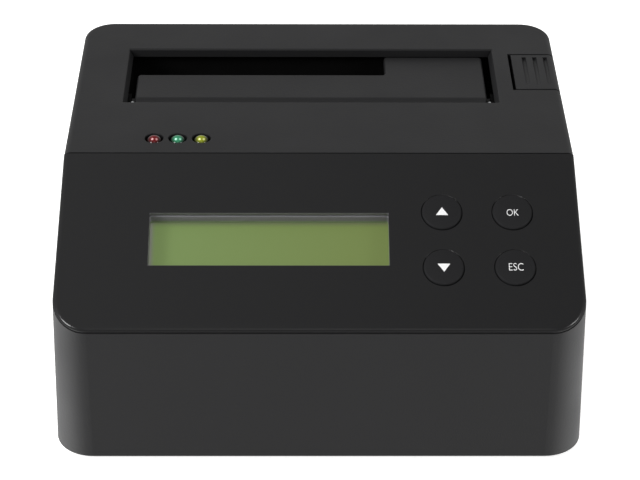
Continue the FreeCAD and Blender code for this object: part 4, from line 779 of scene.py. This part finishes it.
def draw_on(bm, ring, way):
    """Draw the wire on from one of its rings, straight along a way; returns the new ring."""
    grown = bmesh.ops.extrude_edge_only(bm, edges=ring)["geom"]
    verts = [part for part in grown if isinstance(part, bmesh.types.BMVert)]
    bmesh.ops.translate(bm, vec=way, verts=verts)
    new = set(verts)
    return [e for e in bm.edges if e.verts[0] in new and e.verts[1] in new]


def close_wire(bm):
    """Cap the ends of a wire and let it shade as round."""
    bmesh.ops.holes_fill(bm, edges=[e for e in bm.edges if e.is_boundary])
    for face in bm.faces:
        face.smooth = True


class DOCK_OT_housing(bpy.types.Operator):
    """Finish the shell, base plate and eject button in grained black"""

    bl_idname = "dock.housing"
    bl_label = "Housing"

    def execute(self, context):
        colours, sizes = context.scene.dock_colours, context.scene.dock_sizes
        finish = grained_abs(
            "abs_grained_black", colours.housing, 0.52, sizes.grain, sizes.grain_depth
        )
        dress("housing", finish)
        return {"FINISHED"}


class DOCK_OT_panel(bpy.types.Operator):
    """Finish the control panel in satin black"""

    bl_idname = "dock.panel"
    bl_label = "Control panel"

    def execute(self, context):
        colours = context.scene.dock_colours
        finish = satin_abs(
            "abs_satin_black", colours.panel, roughness=0.22, wave=9 * MM, depth=0.006 * MM
        )
        # Painted light on the cut edge of the display window.
        paint_light_on_window_edge(finish.node_tree, colours.gasket)
        dress("panel", finish)
        return {"FINISHED"}


class DOCK_OT_display(bpy.types.Operator):
    """Finish the display window, gasket, cell and bezel"""

    bl_idname = "dock.display"
    bl_label = "Display"

    def execute(self, context):
        colours = context.scene.dock_colours
        dress("lens", clear_acrylic("acrylic_clear"))
        dress("lcd", liquid_crystal("liquid_crystal_yellow_green", colours.display))
        foam = foam_rubber(
            "foam_grey", colours.gasket, roughness=0.85, cell=0.35 * MM, depth=0.05 * MM
        )
        # Painted light on the foam's foot and top.
        paint_light_on_foam_ends(foam.node_tree, colours.display, colours.gasket)
        dress("gasket", foam)
        lacquer = worked_metal(
            "steel_black_lacquer", linear("#242425"), roughness=0.45, line=0.3 * MM, stretch=(1, 8, 8)
        )
        dress("sheet_black", lacquer)
        return {"FINISHED"}


class DOCK_OT_keys(bpy.types.Operator):
    """Finish the four keys and print their marks"""

    bl_idname = "dock.keys"
    bl_label = "Keys"

    def execute(self, context):
        colours, sizes = context.scene.dock_colours, context.scene.dock_sizes
        silky = satin_abs(
            "abs_silky_key", colours.keys, roughness=0.55, wave=4 * MM, depth=0.006 * MM, specular=0.09
        )
        dress("key", silky)
        ink = screen_ink("ink_white_key", colours.ink)
        down = arrow_mark(sizes.down_width, DOWN_ASPECT * sizes.down_width)
        bmesh.ops.rotate(down, matrix=Matrix.Rotation(math.pi, 3, "Z"), verts=down.verts)
        marks = {
            "up": arrow_mark(sizes.up_width, UP_ASPECT * sizes.up_width),
            "down": down,
            "ok": word_mark("OK", sizes.ok_width, LETTER_STRETCH),
            "esc": word_mark("ESC", sizes.esc_width, LETTER_STRETCH),
        }
        for name, bm in marks.items():
            lay_on_crown(bm, Vector((*MARK_SHIFTS[name], 0.0)) * MM)
            thicken(bm, sizes.ink_depth)
            place = PANEL_PLACE @ Matrix.Translation(Vector((*KEY_CENTRES[name], 0.0)) * MM)
            place_piece(name + "_key_mark", bm, place, name + "_key", ink)
        return {"FINISHED"}


class DOCK_OT_lamps(bpy.types.Operator):
    """Tint the three lamps"""

    bl_idname = "dock.lamps"
    bl_label = "Lamps"

    def execute(self, context):
        colours = context.scene.dock_colours
        tints = {
            "led_red": ("epoxy_red", colours.lamp_red),
            "led_green": ("epoxy_green", colours.lamp_green),
            "led_yellow": ("epoxy_yellow_green", colours.lamp_yellow),
        }
        for lamp, (name, colour) in tints.items():
            dress(lamp, lamp_resin(name, colour, lamp))
        return {"FINISHED"}


class DOCK_OT_drive_bay(bpy.types.Operator):
    """Finish the well, flap, hinge and lever"""

    bl_idname = "dock.drive_bay"
    bl_label = "Drive bay"

    def execute(self, context):
        colours, sizes = context.scene.dock_colours, context.scene.dock_sizes
        dull = moulded_plastic(
            "abs_dull_black", colours.well, roughness=0.7, ior=ABS_IOR, grain=3 * MM, specular=0.12
        )
        dress("well", dull)
        grained = grained_abs(
            "abs_grained_flap", colours.housing, 0.5, sizes.grain, sizes.grain_depth
        )
        dress("flap", grained)
        acetal = moulded_plastic(
            "acetal_black", linear("#121212"), roughness=0.4, ior=ACETAL_IOR, grain=4 * MM
        )
        dress("lever", acetal)
        zinc = worked_metal(
            "steel_zinc_plated", linear("#C4C5C7"), roughness=0.3, line=0.2 * MM, stretch=(0.1, 1, 1)
        )
        dress("steel", zinc)
        return {"FINISHED"}


class DOCK_OT_springs(bpy.types.Operator):
    """Wind the springs anew, so that the leg of the flap spring follows the flap"""

    bl_idname = "dock.springs"
    bl_label = "Springs"

    def execute(self, context):
        steel = worked_metal(
            "steel_spring_wire", linear("#A9A8A4"), roughness=0.34, line=0.2 * MM, stretch=(1, 1, 1)
        )
        dress("spring_steel", steel)
        joints = {joint["name"]: joint for joint in frame["record"]["behaviour"]["joints"]}

        # The coil keeps its foot on the well; a last turn with its long leg goes round with the flap.
        hinge = Vector(joints["flap_swing"]["pos_m"])
        hinge.x = FLAP_COIL_X
        lay = Matrix.Rotation(math.pi / 2, 4, "Y")
        bm, first, _ = wind(FLAP_COIL_R, FLAP_WIRE_R, FLAP_COIL_TURNS, FLAP_COIL_PITCH)
        foot = draw_on(bm, first, (0.0, -FLAP_FOOT_REACH, 0.0))
        bend = bmesh.ops.spin(
            bm,
            geom=list({vert for edge in foot for vert in edge.verts}) + foot,
            cent=(FLAP_COIL_R + FLAP_FOOT_BEND_R, -FLAP_FOOT_REACH, 0.0),
            axis=(0.0, 0.0, 1.0),
            angle=math.pi / 2,
            steps=WIRE_SIDES // 2,
        )
        foot = [part for part in bend["geom_last"] if isinstance(part, bmesh.types.BMEdge)]
        draw_on(bm, foot, (FLAP_FOOT_DROP, 0.0, 0.0))
        close_wire(bm)
        coil = place_piece(
            "flap_spring_coil", bm, Matrix.Translation(hinge) @ lay, "case", steel
        )
        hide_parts("flap_spring")

        bm, _, last = wind(FLAP_COIL_R, FLAP_WIRE_R, FLAP_RING_TURN, 0.0)
        short = Matrix.Rotation(2 * math.pi * (1.0 - FLAP_RING_TURN), 3, "Z")
        bmesh.ops.rotate(bm, matrix=short, verts=bm.verts)
        draw_on(bm, last, (-FLAP_LEG.z, FLAP_LEG.y, 0.0))
        close_wire(bm)
        along = Vector(((FLAP_COIL_TURNS + 1.0) * FLAP_COIL_PITCH, 0.0, 0.0))
        place_piece(
            "flap_spring_leg", bm, Matrix.Translation(hinge + along) @ lay, "flap", steel
        )

        # The eject coil is wound anew to fill the box of the spring that it replaces.
        low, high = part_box("eject_spring")
        middle = (low + high) / 2
        height = high.z - low.z
        radius = (high.x - low.x) / 2 - EJECT_WIRE_R
        pitch = (height - 2 * EJECT_WIRE_R) / EJECT_COIL_TURNS
        bm, _, _ = wind(radius, EJECT_WIRE_R, EJECT_COIL_TURNS, pitch)
        close_wire(bm)
        seat = Matrix.Translation((middle.x, middle.y, low.z + EJECT_WIRE_R))
        coil = place_piece("eject_spring_coil", bm, seat, "case", steel)
        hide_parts("eject_spring")
        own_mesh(coil)
        return {"FINISHED"}


class DOCK_OT_back(bpy.types.Operator):
    """Finish the ports and the power switch at the back, and print the switch marks"""

    bl_idname = "dock.back"
    bl_label = "Back ports"

    def execute(self, context):
        nickel = worked_metal(
            "steel_nickel_plated", linear("#CFCDC6"), roughness=0.26, line=0.25 * MM, stretch=(1, 0.1, 1)
        )
        dress("plated_steel", nickel)
        gold = worked_metal(
            "copper_gold_flash", linear("#E2BE6B"), roughness=0.28, line=0.2 * MM, stretch=(1, 1, 0.2)
        )
        dress("contacts", gold)
        plastics = {
            "black_plastic": ("pbt_black", "#161616", 0.42, PBT_IOR, 2 * MM),
            "blue_plastic": ("pbt_blue", "#2A5FC0", 0.4, PBT_IOR, 2 * MM),
            "rocker": ("nylon_rocker_black", "#151515", 0.3, NYLON_IOR, 5 * MM),
        }
        for slot, (name, code, roughness, ior, grain) in plastics.items():
            dress(slot, moulded_plastic(name, linear(code), roughness, ior, grain))
        scene = context.scene
        ink = screen_ink("ink_white_switch", scene.dock_colours.ink)
        ring = scene.dock_sizes.switch_mark
        marks = {
            "off": (word_mark("O", ring), -1.0),
            "on": (word_mark("I", BAR_WIDTH * ring, BAR_STRETCH), 1.0),
        }
        rest = Matrix.Translation(ROCKER_PIVOT) @ Matrix.Rotation(ROCKER_LEAN, 4, "Z")
        face_out = Matrix.Rotation(-math.pi / 2, 4, "X")
        rise = ROCKER_CREST - ROCKER_MARK_OUT * math.tan(ROCKER_LEAN) + INK_PROUD
        for name, (bm, side) in marks.items():
            wing = Matrix.Translation(Vector((side * ROCKER_MARK_OUT, rise, 0.0)) * MM)
            lean = Matrix.Rotation(-side * ROCKER_LEAN, 4, "Z") @ face_out
            thicken(bm, scene.dock_sizes.ink_depth)
            place_piece(
                "rocker_mark_" + name, bm, rest @ wing @ lean, "power_rocker", ink
            )
        return {"FINISHED"}


class DOCK_OT_electronics(bpy.types.Operator):
    """Finish the circuit boards and what stands on them"""

    bl_idname = "dock.electronics"
    bl_label = "Electronics"

    def execute(self, context):
        colours = context.scene.dock_colours
        dress("board", solder_mask("glass_epoxy_green", colours.board))
        chip = moulded_plastic(
            "epoxy_mould_compound", linear("#1B1B1B"), roughness=0.6, ior=EPOXY_IOR, grain=0.4 * MM
        )
        dress("chip", chip)
        white = moulded_plastic(
            "nylon_white", linear("#E4E3DC"), roughness=0.5, ior=NYLON_IOR, grain=3 * MM
        )
        dress("white_plastic", white)
        can = worked_metal(
            "aluminium_can", linear("#D2D4D6"), roughness=0.32, line=0.2 * MM, stretch=(1, 1, 0.1)
        )
        dress("aluminium", can)
        dress("ribbon", flat_cable("vinyl_ribbon"))
        return {"FINISHED"}


class DOCK_OT_underside(bpy.types.Operator):
    """Finish the feet and the case screws"""

    bl_idname = "dock.underside"
    bl_label = "Feet and screws"

    def execute(self, context):
        rubber = foam_rubber(
            "rubber_black", linear("#1A1A1A"), roughness=0.82, cell=0.5 * MM, depth=0.03 * MM
        )
        dress("rubber", rubber)
        zinc = worked_metal(
            "steel_black_zinc", linear("#3A3B3D"), roughness=0.36, line=0.3 * MM, stretch=(1, 1, 1)
        )
        dress("screw_black", zinc)
        return {"FINISHED"}


def set_camera(scene):
    """Stand the camera at the view that is to be matched."""
    yaw, pitch, roll = (math.radians(angle) for angle in CAMERA_TURN)
    ahead = Vector(
        (math.sin(yaw) * math.cos(pitch), math.cos(yaw) * math.cos(pitch), -math.sin(pitch))
    )
    level = Vector((math.cos(yaw), -math.sin(yaw), 0.0))
    above = level.cross(ahead)
    right = math.cos(roll) * level + math.sin(roll) * above
    upward = math.cos(roll) * above - math.sin(roll) * level
    lens = bpy.data.cameras.new("photo_camera")
    lens.lens = CAMERA_LENS
    lens.sensor_width = SENSOR_WIDTH
    lens.sensor_fit = "HORIZONTAL"
    lens.clip_start, lens.clip_end = CAMERA_CLIP
    camera = bpy.data.objects.new("photo_camera", lens)
    scene.collection.objects.link(camera)
    turn = Matrix((right, upward, -ahead)).transposed()
    camera.matrix_world = Matrix.Translation(CAMERA_STAND) @ turn.to_4x4()
    scene.camera = camera


def lay_floor(scene):
    """Lay the paper floor, which shows in no reflection."""
    bm = bmesh.new()
    bmesh.ops.create_grid(bm, x_segments=1, y_segments=1, size=FLOOR_REACH)
    mesh = bpy.data.meshes.new("paper_floor")
    bm.to_mesh(mesh)
    bm.free()
    mesh.materials.append(paper_sweep("paper_white", scene.dock_colours.floor))
    floor = bpy.data.objects.new("paper_floor", mesh)
    scene.collection.objects.link(floor)
    floor.visible_glossy = False


def paper_tent(scene):
    """Surround the object with white paper, brighter or dimmer by the direction it lies in."""
    sky = bpy.data.worlds.new("studio")
    sky.use_nodes = True
    tree = sky.node_tree
    tree.nodes.clear()
    way = add_node(
        tree,
        "ShaderNodeSeparateXYZ",
        links={"Vector": add_node(tree, "ShaderNodeTexCoord").outputs["Generated"]},
    )
    aside = add_node(tree, "ShaderNodeMath", {"operation": "ABSOLUTE"}, None, {0: way.outputs["X"]})
    # Each ramp has the part of the direction that it follows, from and to where, and its two strengths.
    # The roof dims upwards and to the flanks and is darkest ahead, around the camera. The wings are paper
    # at both sides, brightest far below, where only reflections see past the floor. The crown is a faint
    # glow overhead, a little to the left.
    ramps = {
        "roof": (way.outputs["Z"], 0.05, 0.85, 0.84, 0.315),
        "flank": (aside.outputs["Value"], 0.3, 0.75, 1.0, 0.4),
        "ahead": (way.outputs["Y"], -0.5, -0.05, 1.0, 0.0),
        "high": (way.outputs["Z"], -0.3, 0.2, 0.54, 0.62),
        "spread": (aside.outputs["Value"], 0.15, 0.75, 0.0, 1.0),
        "wing": (way.outputs["Y"], -0.1, 0.5, 3.9, 2.0),
        "lean": (way.outputs["X"], -0.8, 0.8, 1.13, 0.9),
        "fade": (way.outputs["Z"], -0.55, -0.25, 1.0, 0.08),
        "slant": (way.outputs["X"], -0.22, 0.14, 0.22, -0.04),
        "crown": (way.outputs["Z"], 0.75, 0.95, 0.0, 1.0),
    }
    strength = {}
    for name, (value, low, high, start, end) in ramps.items():
        ramp = add_node(
            tree,
            "ShaderNodeMapRange",
            None,
            {"From Min": low, "From Max": high, "To Min": start, "To Max": end},
            {"Value": value},
        )
        strength[name] = ramp.outputs["Result"]
    sums = (
        ("dark", "MULTIPLY", "ahead", "high"),
        ("dimmed", "MULTIPLY", "roof", "dark"),
        ("open", "SUBTRACT", "roof", "dimmed"),
        ("base", "MULTIPLY", "open", "flank"),
        ("low_wing", "MULTIPLY", "wing", "fade"),
        ("own_wing", "MULTIPLY", "low_wing", "lean"),
        ("sides", "MULTIPLY", "spread", "own_wing"),
        ("glow", "MULTIPLY", "slant", "crown"),
        ("lit", "ADD", "base", "glow"),
        ("tent", "ADD", "lit", "sides"),
    )
    for name, operation, first, second in sums:
        node = add_node(
            tree,
            "ShaderNodeMath",
            {"operation": operation},
            None,
            {0: strength[first], 1: strength[second]},
        )
        strength[name] = node.outputs["Value"]
    back = add_node(
        tree,
        "ShaderNodeBackground",
        None,
        {"Color": (1.0, 1.0, 1.0, 1.0)},
        {"Strength": strength["tent"]},
    )
    add_node(tree, "ShaderNodeOutputWorld", links={"Surface": back.outputs["Background"]})
    scene.world = sky


def hang_lights(scene):
    """Hang square soft lights around the object, all facing it."""
    # Each light has its place and side in metres, its power in watts, and whether it shows in reflections.
    # The small boxes give the edges and the lamps their glints, and the fills only brighten matt faces.
    boxes = {
        "softbox_left": ((-0.68, -0.52, 0.56), 0.3, 3.9, True),
        "softbox_right": ((0.7, -0.48, 0.57), 0.26, 1.7, True),
        "softbox_front": ((0.0, -0.62, 0.86), 0.4, 0.45, True),
        "fill_left": ((-0.66, -0.26, 0.72), 0.42, 4.6, False),
        "fill_right": ((0.62, -0.26, 0.72), 0.32, 1.0, False),
    }
    for name, (spot, side, power, mirrored) in boxes.items():
        light = bpy.data.lights.new(name, "AREA")
        light.shape = "SQUARE"
        light.size = side
        light.energy = power
        box = bpy.data.objects.new(name, light)
        facing = (LIGHT_AIM - Vector(spot)).to_track_quat("-Z", "Y")
        box.matrix_world = Matrix.Translation(spot) @ facing.to_matrix().to_4x4()
        box.visible_glossy = mirrored
        scene.collection.objects.link(box)


class DOCK_OT_stage(bpy.types.Operator):
    """Set the camera, the paper floor, the paper tent and the soft lights"""

    bl_idname = "dock.stage"
    bl_label = "Stage"

    def execute(self, context):
        scene = context.scene
        set_camera(scene)
        lay_floor(scene)
        paper_tent(scene)
        hang_lights(scene)
        scene.view_settings.view_transform = "Standard"
        return {"FINISHED"}


STEPS = (
    DOCK_OT_stage,
    DOCK_OT_housing,
    DOCK_OT_panel,
    DOCK_OT_display,
    DOCK_OT_keys,
    DOCK_OT_lamps,
    DOCK_OT_drive_bay,
    DOCK_OT_springs,
    DOCK_OT_back,
    DOCK_OT_electronics,
    DOCK_OT_underside,
)


class DOCK_PT_sidebar(bpy.types.Panel):
    """Steps and settings of the dock"""

    bl_idname = "DOCK_PT_sidebar"
    bl_label = "Drive eraser dock"
    bl_space_type = "VIEW_3D"
    bl_region_type = "UI"
    bl_category = "Dock"

    def draw(self, context):
        for step in STEPS:
            self.layout.operator(step.bl_idname)
        for group in (context.scene.dock_colours, context.scene.dock_sizes):
            box = self.layout.box()
            for name in group.__annotations__:
                box.prop(group, name)


CLASSES = (DockColours, DockSizes, *STEPS, DOCK_PT_sidebar)


def register():
    for cls in CLASSES:
        bpy.utils.register_class(cls)
    bpy.types.Scene.dock_colours = PointerProperty(type=DockColours)
    bpy.types.Scene.dock_sizes = PointerProperty(type=DockSizes)


def unregister():
    del bpy.types.Scene.dock_sizes
    del bpy.types.Scene.dock_colours
    for cls in reversed(CLASSES):
        bpy.utils.unregister_class(cls)


def main():
    register()
    bpy.ops.dock.stage()
    bpy.ops.dock.housing()
    bpy.ops.dock.panel()
    bpy.ops.dock.display()
    bpy.ops.dock.keys()
    bpy.ops.dock.lamps()
    bpy.ops.dock.drive_bay()
    bpy.ops.dock.springs()
    bpy.ops.dock.back()
    bpy.ops.dock.electronics()
    bpy.ops.dock.underside()


if __name__ == "__main__":
    main()
